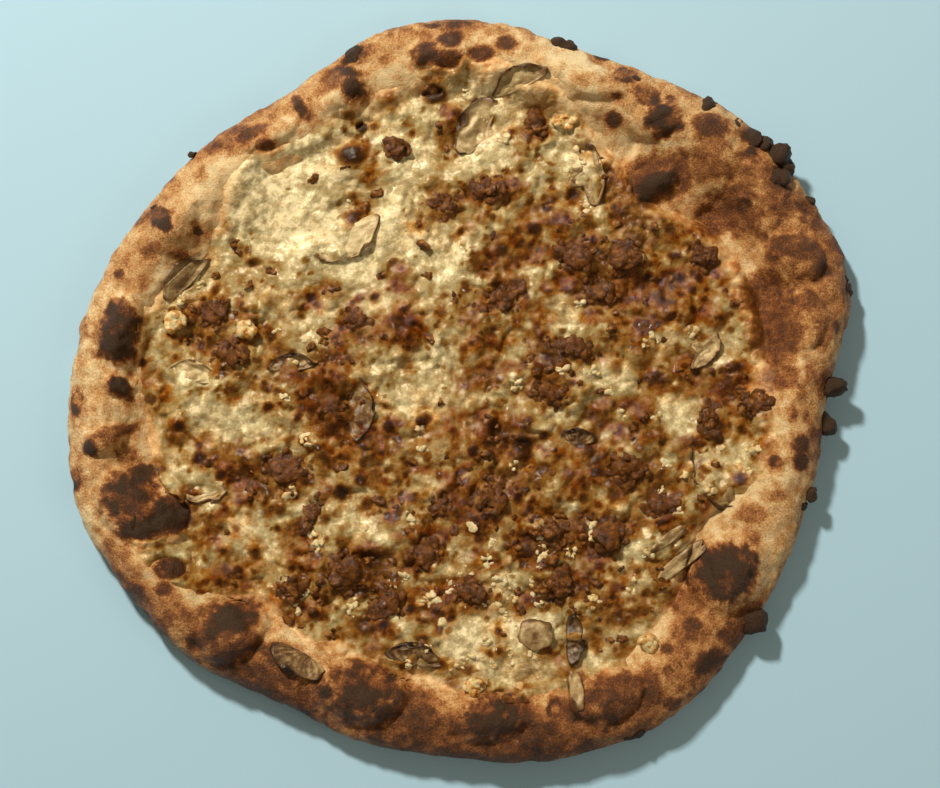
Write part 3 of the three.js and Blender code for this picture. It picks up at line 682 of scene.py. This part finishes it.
def melted_mozzarella():
    made = new_material("melted_mozzarella", "bake", "fat", "edge", "wet")
    material, add, shader, place, bake, fat, edge, gloss = made
    mottle = add("TexNoise", {"Vector": place, "Scale": 1 / (3.5 * MM), "Detail": 2.5, "Roughness": 0.5})
    grain = add("TexNoise", {"Vector": place, "Scale": 1 / MM, "Detail": 3, "Roughness": 0.65})
    level = uneven(add, bake, (mottle, 0.08), (grain, 0.045))
    colour = add("ValToRGB", {0: level}, CHEESE_COLOURS)
    crust = add("ValToRGB", {0: level}, DOUGH_COLOURS)
    surface = add("Mix", {0: edge, 6: colour, 7: crust}, data_type="RGBA")
    wet = add("MapRange", {0: mottle, 1: 0.36, 2: 0.60, 3: 0.5, 4: 1.0})
    film = add("Math", {0: fat, 1: wet}, operation="MULTIPLY", use_clamp=True)
    oiled = add("Mix", {0: film, 6: surface.outputs[2], 7: linear("#e6aa3a")},
                data_type="RGBA", blend_type="MULTIPLY")
    dry = add("MapRange", {0: gloss, 1: 0.0, 2: 1.0, 3: 0.4, 4: 0.0})
    oily = add("MapRange", {0: film, 1: 0.0, 2: 0.3, 3: 0.27, 4: 0.07})
    rough = add("Math", {0: dry, 1: oily}, operation="ADD")
    low = add("Bump", {"Height": mottle, "Distance": 1.1 * MM, "Strength": 0.8})
    beaded = add("MapRange", {0: film, 1: 0.05, 2: 0.3, 3: 0.25, 4: 1.0})
    skin = add("Bump", {"Height": grain, "Distance": 0.42 * MM, "Strength": beaded, "Normal": low})
    set_inputs(shader, {
        "Base Color": oiled.outputs[2], "Roughness": rough, "Normal": skin, "IOR": 1.38,
        "Subsurface Weight": 0.25, "Subsurface Radius": (1.0, 0.6, 0.3), "Subsurface Scale": 1.4 * MM,
    })
    return material


def browning(x, y):
    """How brown the cheese is, how much fat lies on it, and how far its edge has turned into dough. It is
    cream in the thick pools, then gold, and brown where heat reached it: in dapples a few mm across that
    crowd together in the browned areas."""
    flat = on_floor(x, y)
    ragged = 0.2 * fractal(flat, 5, 3, 80) + 0.1 * fractal(flat, 1.8, 2, 83)
    wide = fractal(flat, 11, 3, 85)
    # The creases between the folds are painted browner and oilier below: fat pools there, and the darker
    # colour is partly painted shade.
    crease = ease(0.5, 0.1, pillows(flat) + 0.5 * ragged)
    pale = spread(x, y, PALE, 2 * ragged + 0.2 * wide)
    brown = spread(x, y, BROWNED_AND_SHADED, 1.5 * ragged + 0.3 * wide)
    heat = 0.18 + 0.62 * brown - 0.4 * pale + 0.14 * wide + 0.1 * crease
    heat += 0.3 * (1 - 0.6 * pale) * fractal(bend(flat, 3, 8, 90), 8, 4, 94)
    for size, seed in ((7, 100), (5, 104), (3.6, 108)):
        dot, mark = cells(bend(flat, 1, 4, seed), size, seed)
        chosen = mark < 0.25 + 0.7 * brown - 0.3 * pale
        heat += 0.55 * chosen * (1 - ease(0.2, 0.42, dot + 0.3 * ragged))
        heat -= 0.4 * (mark > 0.88) * (1 - ease(0.1, 0.45, dot + 0.6 * ragged))
    bake = np.interp(
        heat, (-0.5, -0.1, 0.1, 0.3, 0.5, 0.8, 1.1, 1.5), (0, 0.07, 0.15, 0.24, 0.35, 0.48, 0.57, 0.66),
    )
    bubbles = BUBBLES + strewn_bubbles()
    bake = stamp(bake, x, y, bubbles, ragged, 0.25)
    wider = [(*s[:2], s[2] + 2.5, s[3] + 2.5, 1.0, *s[5:]) for s in bubbles]
    halo = stamp(np.zeros_like(x), x, y, wider, 2 * ragged, 0.3)
    charred = stamp(np.zeros_like(x), x, y, RIM_SCORCH_AND_SHADE, ragged, 0.5)
    ashen = 0.3 * ease(0.55, 0.8, charred) * ease(-0.2, 0.9, fractal(flat, 5, 3, 31))
    bake = np.maximum(bake, charred - ashen)
    depth = cheese_depth(x, y)
    thin = ease(12, -1, depth + 6 * wide)
    bake = np.maximum(bake, thin * (0.26 + 0.16 * wide) * (1 - 0.8 * pale))
    amber = spread(x, y, AMBER, 0.4 * wide)
    pool = ease(-0.3, 0.5, fractal(flat, 9, 3, 96))
    streak = ease(0.05, 0.6, fractal(bend(flat, 5, 12, 120), 11, 3, 124))
    fat = 0.5 * streak * (1 - 0.4 * pale) + amber * (0.1 + 0.6 * pool) * (0.3 + brown) * (1 - 0.7 * pale)
    fat += 0.12 * crease + 0.8 * halo + 0.2 * thin * (1 - pale)
    fat += 0.4 * ease(0.15, 0.4, heat) - 0.3 * ease(0.5, 0.9, heat)
    fat *= 1 - 0.5 * ease(0.3, 0.6, bake)
    edge = ease(3 + 8 * ease(60, 100, x + y), -1, depth + 5 * wide + 3 * ragged) * (1 - charred)
    dough = scorched(x, y, np.stack([x, y, crust_top(x, y)], axis=1), depth + 30)
    bake += (dough - bake) * edge
    fat += (0.35 - fat) * edge
    return np.clip(bake, 0.02, 1), np.clip(fat, 0, 1) * (1 - charred), edge


def cheese_sheet():
    shape = bmesh.new()
    steps = int(2 * SHEET / CELL)
    bmesh.ops.create_grid(shape, x_segments=steps, y_segments=steps, size=SHEET * MM)
    places = np.array([vert.co for vert in shape.verts]) / MM
    outside = cheese_depth(places[:, 0], places[:, 1]) < -DIP
    gone = [vert for vert, out in zip(shape.verts, outside) if out]
    bmesh.ops.delete(shape, geom=gone, context="VERTS")
    edge = [e for e in shape.edges if e.is_boundary]
    wall = bmesh.ops.extrude_edge_only(shape, edges=edge)["geom"]
    lower = [part for part in wall if isinstance(part, bmesh.types.BMVert)]
    bmesh.ops.translate(shape, vec=(0, 0, -1), verts=lower)
    bmesh.ops.edgeloop_fill(shape, edges=[e for e in shape.edges if e.is_boundary])
    bmesh.ops.recalc_face_normals(shape, faces=shape.faces)
    piece = finish_piece(shape, "melted_cheese", melted_mozzarella(), "cheese", "cheese")
    mesh = piece.data
    points = coordinates(mesh)
    x, y = points[:, 0], points[:, 1]
    under = points[:, 2] < -500
    move_to(mesh, np.stack([x, y, np.where(under, FLOOR - 1, cheese_top(x, y))], axis=1))
    bake, fat, edge = browning(x, y)
    paint(mesh, "bake", bake)
    paint(mesh, "fat", fat)
    paint(mesh, "edge", edge)
    charred = stamp(np.zeros_like(x), x, y, RIM_SCORCH_AND_SHADE, 0 * x, 0.5)
    paint(mesh, "wet", (1 - charred) * ease(-2, 4, cheese_depth(x, y)))


cheese_sheet()

# ---- Mushrooms ----------------------------------------------------------------------------------------
# Button mushrooms cut lengthwise into slices about 2 mm thick, which were laid on before the cheese had
# set. They shrank and greyed in the oven, and the skin round the cap dried to a thin dark line.

SLICE = 2.2  # thickness in mm

# Slices: x, y, way the crown points in degrees, cap width, whether it has its stem, how brown its flesh and
# its crown's skin are, and how many mm its flesh is sunk in the cheese.
SLICES = [
    (7, 105, 150, 28, True, 0.2, 0.75, 1.5), (24, 124, 110, 22, False, 0.3, 0.7, 1.6),
    (52, 87, 5, 25, True, 0.35, 0.7, 1.7), (-112, 44, 135, 22, False, 0.36, 0.7, 0.6),
    (-110, 4, 80, 20, True, 0.05, 0.3, 1.6), (-47, 63, -55, 30, True, 0.02, 0.45, 1.9),
    (-70, 8, 95, 18, True, 0.45, 0.8, 1.5), (-44, -10, 0, 26, True, 0.5, 0.75, 1.6),
    (-104, -41, -75, 20, True, 0.2, 0.5, 1.6), (-64, -110, -120, 24, False, 0.45, 0.8, 0.8),
    (-19, -111, 80, 24, False, 0.55, 0.8, 1.2), (44, -103, 0, 19, False, 0.7, 0.85, 0.4),
    (105, -36, 205, 32, True, 0.2, 0.65, 2.1), (46, -22, 90, 16, False, 0.5, 0.9, 1.6),
    (99, 15, -35, 18, True, 0.3, 0.6, 1.8),
]

# Stems: x, y, turn in degrees, length, width.
STEMS = [(30, -101, 0, 14, 13), (46, -122, 100, 15, 6), (89, -71, 38, 27, 6), (84, -62, 36, 17, 5)]
CUT_ACROSS = 10  # a stem wider than this was cut across, and shows a dark core


# Baked mushroom: damp, slightly see-through flesh that browned unevenly, in patches about 3 mm across, with
# a dark dry skin at the crown.
def baked_mushroom():
    material, add, shader, place, skin = new_material("baked_mushroom", "skin")
    mottle = add("TexNoise", {"Vector": place, "Scale": 1 / (3 * MM), "Detail": 5, "Roughness": 0.65})
    colour = add("ValToRGB", {0: uneven(add, skin, (mottle, 0.18))}, [
        (0.0, "#cfc19a"), (0.25, "#a8926a"), (0.5, "#74593a"), (0.75, "#3f2b1b"), (1.0, "#1f150e"),
    ])
    low = add("Bump", {"Height": mottle, "Distance": 0.8 * MM, "Strength": 0.8})
    set_inputs(shader, {
        "Base Color": colour, "Roughness": 0.34, "Normal": low,
        "Subsurface Weight": 0.15, "Subsurface Scale": MM,
    })
    return material


MUSHROOM = baked_mushroom()


def slice_half_width(along, width, has_stem):
    """Half width of a slice at a height along it: 1 at the crown, 0 where the cap is widest."""
    half = width / 2
    cap = half * np.sqrt(np.clip(1 - np.maximum(along, 0) ** 2, 0, 1))
    stem = 0.2 * width * (1 + 0.25 * np.clip(along, -1, 0))
    under = half * np.sqrt(np.clip(1 - (np.minimum(along, 0) / 0.3) ** 2, 0, 1))
    return np.where(along >= 0, cap, np.maximum(under, stem if has_stem else 0))


def lay_down(mesh, x, y, turn, local_x, local_y, height):
    """Lays a flat topping on the cheese: its points in mm from its middle, and heights over its bed."""
    angle = math.radians(turn)
    px = x + local_x * math.cos(angle) - local_y * math.sin(angle)
    py = y + local_x * math.sin(angle) + local_y * math.cos(angle)
    bare = np.where(cheese_depth(px, py) > 0, cheese_level(px, py), crust_top(px, py))
    curl = 0.6 * np.sin((px - x) / 5 + turn) * np.cos((py - y) / 6)
    move_to(mesh, np.stack([px, py, 0.3 * bed_top(px, py) + 0.7 * bare + curl + height], axis=1))


def mushroom_slice(node, x, y, turn, width, has_stem, brown, dark, sunk):
    shape = bmesh.new()
    bmesh.ops.create_grid(shape, x_segments=36, y_segments=40, size=1)
    bmesh.ops.solidify(shape, geom=shape.faces, thickness=1)
    bmesh.ops.recalc_face_normals(shape, faces=shape.faces)
    piece = finish_piece(shape, "sliced_" + node, MUSHROOM, "mushroom", node)
    unit = coordinates(piece.data) * MM
    upper = unit[:, 2] > unit[:, 2].mean()
    foot = -0.95 if has_stem else -0.29
    along = foot + (1 - foot) * np.sin((np.clip(unit[:, 1], -1, 1) * 0.5 + 0.5) * math.pi / 2)
    half = slice_half_width(along, width, has_stem)
    crown = 0.31 * width
    outline = np.stack([unit[:, 0], along, 0 * along], axis=1)
    local_x = unit[:, 0] * half * (1 + 0.22 * fractal(outline, 0.7, 3, int(width + x)))
    local_y = along * crown * (1 + 0.22 * fractal(outline, 0.7, 3, int(width - y)))
    edge = np.minimum(half * (1 - np.abs(unit[:, 0])), crown * (1 - along))
    rim = (1 - ease(0.3, 2.2, edge)) * ease(-0.2, 0.2, along)
    thick = 0.4 + (SLICE - 0.4) * ease(0, 1.2, edge) + 0.7 * rim
    drown = sunk * (1 - 0.7 * rim) + 1.2 * (sunk > 1) * fractal(outline, 0.5, 2, int(x))
    tilt = (0.3 + brown) * (0.8 * math.cos(x) * unit[:, 0] + 0.9 * along)
    height = np.where(upper, thick, 0) - drown + tilt
    lay_down(piece.data, x, y, turn, local_x, local_y, height)
    skin = (dark - brown) * (1 - ease(0.5, 1.8, edge)) * ease(-0.15, 0.1, along)
    gills = (along < (0.12 if has_stem else 0.6)) & (brown > 0.42) & (edge > 1.5)
    lines = np.sin(30 * np.arctan2(along + 0.6, unit[:, 0]) + 3 * fractal(outline, 0.5, 2, 9))
    patches = 0.2 * fractal(outline, 0.6, 3, int(3 * x))
    paint(piece.data, "skin", brown + skin + patches + np.where(gills, 0.13 * lines, 0))


def mushroom_stem(node, x, y, turn, length, width):
    shape = bmesh.new()
    bmesh.ops.create_uvsphere(shape, u_segments=48, v_segments=32, radius=1)
    piece = finish_piece(shape, "cut_" + node, MUSHROOM, "mushroom", node)
    unit = coordinates(piece.data) * MM
    bent = 1 + 0.22 * fractal(unit, 0.7, 3, length)
    local_x, local_y = unit[:, 0] * length / 2 * bent, unit[:, 1] * width / 2 * bent
    groove = 0.3 * np.sin(3.5 * unit[:, 1]) + 0.15 * fractal(unit, 0.3, 2, 5)
    lay_down(piece.data, x, y, turn, local_x, local_y, 1.5 * np.clip(unit[:, 2] * 1.5, -1, 1) + 0.7 + groove)
    edge = 1 - np.hypot(unit[:, 0], unit[:, 1])
    patches = 0.2 * fractal(unit, 0.5, 3, int(x))
    outside = 0.25 * (1 - ease(0, 0.2, edge))
    core = 0.3 * ease(0.6, 1, edge) * (width > CUT_ACROSS)
    paint(piece.data, "skin", 0.3 + patches + outside + core)


for number, (x, y, crown, *looks) in enumerate(SLICES, 1):
    mushroom_slice(f"mushroom_{number:02d}", x, y, crown - 90, *looks)
for number, stem in enumerate(STEMS, 1):
    mushroom_stem(f"stem_{number:02d}", *stem)

# ---- Sausage ------------------------------------------------------------------------------------------
# Coarse pork sausage pinched out of its skin in lumps, which fried in their own fat to a dark red brown.
# Each lump is a cluster of crumbs, and the cheese rose round its foot.

BITS = 40  # in each lump
LARGE_BITS = 10  # in its middle
SMALLEST_BITS = 14  # round its foot, which need fewer faces
LOOSE_CRUMBS = 260  # strewn between the lumps

# Lumps: x, y, half length, half width, turn in degrees, height.
SAUSAGE = [
    (-101, 31, 11, 6, 15, 6), (-94, 14, 9, 6, -10, 6), (-27, 99, 5, 5, 0, 6), (31, 108, 4, 7, 20, 6),
    (8, 81, 11, 5, 12, 5), (-7, 76, 6, 4, 0, 5), (47, 55, 10, 8, 0, 6), (67, 53, 10, 8, 10, 6),
    (57, 40, 10, 6, 0, 5), (99, 54, 5, 7, 35, 6), (17, 36, 11, 7, 20, 6), (45, 16, 13, 4.5, -15, 5),
    (35, -3, 8, 6, 0, 6), (-43, 28, 6, 4, -10, 4), (-73, -33, 13, 8, 0, 7), (-62, -52, 11, 4, 60, 5),
    (-46, -76, 12, 9, -30, 7), (-31, -88, 8, 8, 0, 6), (-69, -82, 7, 5, 10, 6), (-16, -68, 7, 8, 0, 6),
    (12, -45, 8, 10, -10, 7), (-9, -49, 5, 5, 0, 6), (68, -35, 10, 8, 0, 7), (81, -48, 8, 5, 0, 6),
    (37, -61, 10, 7, -10, 6), (60, -63, 10, 7, 20, 6), (41, -80, 8, 7, 0, 6), (4, -84, 9, 6, 0, 6),
    (118, -7, 9, 5.5, -15, 6), (101, -13, 9, 3.5, 85, 5),
]

# Small crumbs stuck in the cheese: x, y, radius.
CRUMBS = [
    (-102, 46, 2.4), (-88, 42, 2.4), (-78, 47, 2), (-106, 18, 2.4), (-62, 85, 3), (-35, 80, 2.6),
    (-17, 58, 3), (-18, 68, 2.4), (-53, 40, 2.6), (-33, 45, 2.6), (-15, 46, 2.2), (-56, 22, 2.6),
    (36, 74, 2.2), (80, 66, 2.2), (113, 35, 2.2), (84, 20, 2.4), (75, 4, 2.6), (62, 24, 2.6),
    (-86, -43, 2.6), (-34, -46, 2.4), (-30, -70, 2.2), (-57, -88, 2.4), (-70, -94, 2.6), (-15, -84, 2.6),
    (-2, -58, 2.6), (24, -84, 2.2), (55, -79, 2.4), (16, -100, 2), (-8, -6, 2), (-12, 20, 2.2),
]


# Fried sausage: coarse mince, glossy with fat. Browning leaves tan, rust and near black grains side by side,
# in patches about 3 mm across, and the finest grain that glints is 0.9 mm.
def fried_sausage():
    material, add, shader, place, crisp_and_shade = new_material("fried_sausage", "crisp_and_shade")
    mottle = add("TexNoise", {"Vector": place, "Scale": 1 / (3 * MM), "Detail": 5, "Roughness": 0.7})
    grain = add("TexNoise", {"Vector": place, "Scale": 1 / (0.9 * MM), "Detail": 3, "Roughness": 0.7})
    colour = add("ValToRGB", {0: uneven(add, crisp_and_shade, (mottle, 0.2))}, [
        (0.0, "#b58a4c"), (0.2, "#90602a"), (0.42, "#704318"), (0.7, "#4a2b0f"), (1.0, "#2a190a"),
    ])
    low = add("Bump", {"Height": mottle, "Distance": 0.9 * MM, "Strength": 0.8})
    skin = add("Bump", {"Height": grain, "Distance": 0.6 * MM, "Strength": 0.9, "Normal": low})
    rough = add("MapRange", {0: grain, 1: 0.35, 2: 0.65, 3: 0.08, 4: 0.24})
    set_inputs(shader, {"Base Color": colour, "Roughness": rough, "Normal": skin, "IOR": 1.42})
    return material


FRIED = fried_sausage()


def sausage_lump(node, x, y, length, width, turn, height, seed):
    """A lump of mince: bits heaped higher towards its middle, the largest first."""
    rng = np.random.default_rng(seed)
    shape = bmesh.new()
    angle = math.radians(turn)
    bearing = rng.uniform(0, math.tau, BITS)
    reach = np.linspace(0, 1, BITS) ** 0.6 * rng.uniform(0.8, 1, BITS)
    along, across = reach * length * np.cos(bearing), reach * width * np.sin(bearing)
    px = x + along * math.cos(angle) - across * math.sin(angle)
    py = y + along * math.sin(angle) + across * math.cos(angle)
    bed = bed_top(px, py)
    for i in range(BITS):
        large = i < LARGE_BITS
        radius = rng.uniform(0.24, 0.38) * min(length, width) + 0.6 if large else rng.uniform(0.9, 1.9)
        size = radius * rng.uniform((0.9, 0.7, 0.35), (1.9, 1.3, 0.6))
        rise = (0.25 if large else 0.08) * height * (1 - reach[i] ** 2) - 0.35 * radius
        turns = rng.uniform((-0.4, -0.4, 0), (0.4, 0.4, math.tau))
        add_lump(shape, (px[i], py[i], bed[i] + rise), size, turns, 3 if i < BITS - SMALLEST_BITS else 2)
    piece = finish_piece(shape, "crumbled_" + node, FRIED, "sausage", node)
    mark = roughen(piece.data, 0.9, 0.5, 2.2, seed)
    fine = roughen(piece.data, 0.3, 0.4, 1.1, seed + 8)
    # Darker in the creases between the bits: painted shade, besides the frying.
    paint(piece.data, "crisp_and_shade", 0.2 + 0.25 * mark + 0.25 * fine)


for number, lump in enumerate(SAUSAGE, 1):
    sausage_lump(f"sausage_{number:02d}", *lump, 380 + 20 * number)


# The finest crumbs fell off the lumps and are strewn thickly in the browned areas.
def loose_crumbs():
    rng = np.random.default_rng(3)
    x, y = strewn(rng, LOOSE_CRUMBS, BROWNED_AND_SHADED, 0, 3)
    x = np.append(x, [crumb[0] for crumb in CRUMBS])
    y = np.append(y, [crumb[1] for crumb in CRUMBS])
    radius = np.append(rng.triangular(0.8, 1.2, 2.4, LOOSE_CRUMBS), [crumb[2] for crumb in CRUMBS])
    bed = bed_top(x, y)
    shape = bmesh.new()
    for i in range(len(x)):
        size = radius[i] * rng.uniform((0.9, 0.7, 0.4), (1.7, 1.2, 0.7))
        centre = (x[i], y[i], bed[i] + rng.uniform(-0.5, -0.2) * radius[i])
        add_lump(shape, centre, size, rng.uniform(-0.8, 0.8, 3), 2 if radius[i] < 1.5 else 3)
    piece = finish_piece(shape, "sausage_crumbs", FRIED, "sausage")
    mark = roughen(piece.data, 0.9, 0.6, 1.1, 300)
    paint(piece.data, "crisp_and_shade", 0.1 + 0.6 * mark)


loose_crumbs()

# ---- Curds --------------------------------------------------------------------------------------------
# Bits of a fresher, crumbly cheese, broken by hand and scattered on last. They stick in the mozzarella,
# and kept their shape in the oven, where only their tops toasted.

SMALL_CURDS = 90  # broken ones, strewn between the large

# Large curds: x, y, half length, half width.
CURDS = [
    (-117, 27, 5, 5), (-88, 24, 5, 4.5), (42, 109, 6, 3.5), (5, -121, 6, 4), (76, -104, 5, 5),
]

# Where small curds lie, by the share of them.
CURD_AREAS = [
    (-105, 40, 22, 14, 0.5), (30, -75, 50, 26, 1), (100, -40, 24, 30, 0.8), (-60, -70, 40, 26, 0.5),
    (0, -105, 50, 14, 0.8), (-75, 20, 26, 20, 0.3), (40, 100, 24, 16, 0.5), (60, 10, 40, 30, 0.35),
]


# Toasted curd: chalky and soft, cream to golden and orange in patches about 3 mm across, and darker in the
# creases between its grains, which is painted shade.
def toasted_curd():
    material, add, shader, place, toast = new_material("toasted_curd", "toast")
    mottle = add("TexNoise", {"Vector": place, "Scale": 1 / (3 * MM), "Detail": 4, "Roughness": 0.6})
    colour = add("ValToRGB", {0: uneven(add, toast, (mottle, 0.25))}, [
        (0.0, "#d9d2b6"), (0.35, "#d0bd8c"), (0.6, "#bf8c42"), (0.85, "#7c451b"), (1.0, "#5a2c10"),
    ])
    low = add("Bump", {"Height": mottle, "Distance": 0.6 * MM, "Strength": 0.7})
    set_inputs(shader, {
        "Base Color": colour, "Roughness": 0.42, "Normal": low,
        "Subsurface Weight": 0.2, "Subsurface Scale": MM,
    })
    return material


CURD = toasted_curd()


def curd(node, x, y, length, width, seed):
    rng = np.random.default_rng(seed)
    shape = bmesh.new()
    bed = bed_top(np.array([x]), np.array([y]))[0]
    add_lump(shape, (x, y, bed + 0.3 * width), (0.8 * length, 0.8 * width, 0.5 * width), (0, 0, 0), 4)
    for _ in range(5):
        px, py = x + rng.uniform(-0.6, 0.6) * length, y + rng.uniform(-0.6, 0.6) * width
        size = (0.45 * length, 0.45 * width, 0.4 * width)
        add_lump(shape, (px, py, bed + 0.45 * width), size, rng.uniform(-0.8, 0.8, 3), 3)
    piece = finish_piece(shape, "cheese_" + node, CURD, "curd", node)
    mark = roughen(piece.data, 0.6, 0.5, 2, seed)
    # Its creases come out darker: painted shade.
    paint(piece.data, "toast", 0.1 + 0.5 * mark)


for number, place in enumerate(CURDS, 1):
    curd(f"curd_{number:02d}", *place, 590 + 10 * number)


def strewn_curds():
    """Small curds, broken into grains that lie together in threes to sixes."""
    rng = np.random.default_rng(17)
    x, y = strewn(rng, SMALL_CURDS, CURD_AREAS, 0.1, 3)
    shape = bmesh.new()
    for i in range(SMALL_CURDS):
        for _ in range(rng.integers(3, 7)):
            px, py = x[i] + rng.normal(0, 1.3), y[i] + rng.normal(0, 1.3)
            radius = rng.triangular(0.5, 0.8, 2)
            size = radius * rng.uniform((0.9, 0.7, 0.4), (1.6, 1.2, 0.7))
            bed = bed_top(np.array([px]), np.array([py]))[0]
            centre = (px, py, bed + rng.uniform(-0.6, -0.1) * radius)
            add_lump(shape, centre, size, rng.uniform(-0.8, 0.8, 3), 3)
    piece = finish_piece(shape, "small_curds", CURD, "curd")
    mark = roughen(piece.data, 0.5, 0.5, 1.2, 700)
    # Their creases come out darker: painted shade.
    paint(piece.data, "toast", 0.32 * mark)


strewn_curds()

# ---- Stage --------------------------------------------------------------------------------------------
# A plain pale floor, a warm key light from the far left, a weak wide fill opposite it that the fat doesn't
# mirror, and a soft sky all round.

floor_shape = bmesh.new()
bmesh.ops.create_grid(floor_shape, x_segments=1, y_segments=1, size=4)
floor_mesh = bpy.data.meshes.new("floor")
floor_shape.to_mesh(floor_mesh)
floor_shape.free()
floor = bpy.data.objects.new("floor", floor_mesh)
bpy.context.collection.objects.link(floor)
paper, _, paper_shader, _ = new_material("matt_pale_paper")
set_inputs(paper_shader, {"Base Color": linear("#a9d5fa"), "Roughness": 0.9})
floor_mesh.materials.append(paper)

world = bpy.data.worlds.new("soft_sky")
world.use_nodes = True
set_inputs(world.node_tree.nodes["Background"], {"Color": linear("#f0dab2"), "Strength": 0.26})
bpy.context.scene.world = world


def area_light(name, position, size, power, colour, mirrored):
    light = bpy.data.lights.new(name, "AREA")
    light.size = size
    light.energy = power
    light.color = linear(colour)[:3]
    lamp = bpy.data.objects.new(name, light)
    lamp.location = position
    lamp.visible_glossy = mirrored
    lamp.rotation_euler = (-Vector(position)).to_track_quat("-Z", "Y").to_euler()
    bpy.context.collection.objects.link(lamp)


area_light("key", (-0.63, 1.06, 1.14), 0.155, 34, "#ffedd1", True)
area_light("fill", (1.3, -0.7, 1.1), 0.8, 4, "#ffedd1", False)

PICTURE_WIDTH = 940
MM_PER_PIXEL = 0.409
ELEVATION = math.radians(86)
DISTANCE = 0.95
SENSOR_WIDTH = 36
camera_data = bpy.data.cameras.new("camera")
camera_data.sensor_width = SENSOR_WIDTH
camera_data.lens = SENSOR_WIDTH * DISTANCE / (PICTURE_WIDTH * MM_PER_PIXEL * MM)
camera = bpy.data.objects.new("camera", camera_data)
target = Vector((0.0034, -0.0028, 0.008))
camera.location = target + DISTANCE * Vector((0, -math.cos(ELEVATION), math.sin(ELEVATION)))
camera.rotation_euler = (target - camera.location).to_track_quat("-Z", "Y").to_euler()
bpy.context.collection.objects.link(camera)
bpy.context.scene.camera = camera
bpy.context.scene.view_settings.view_transform = "Standard"
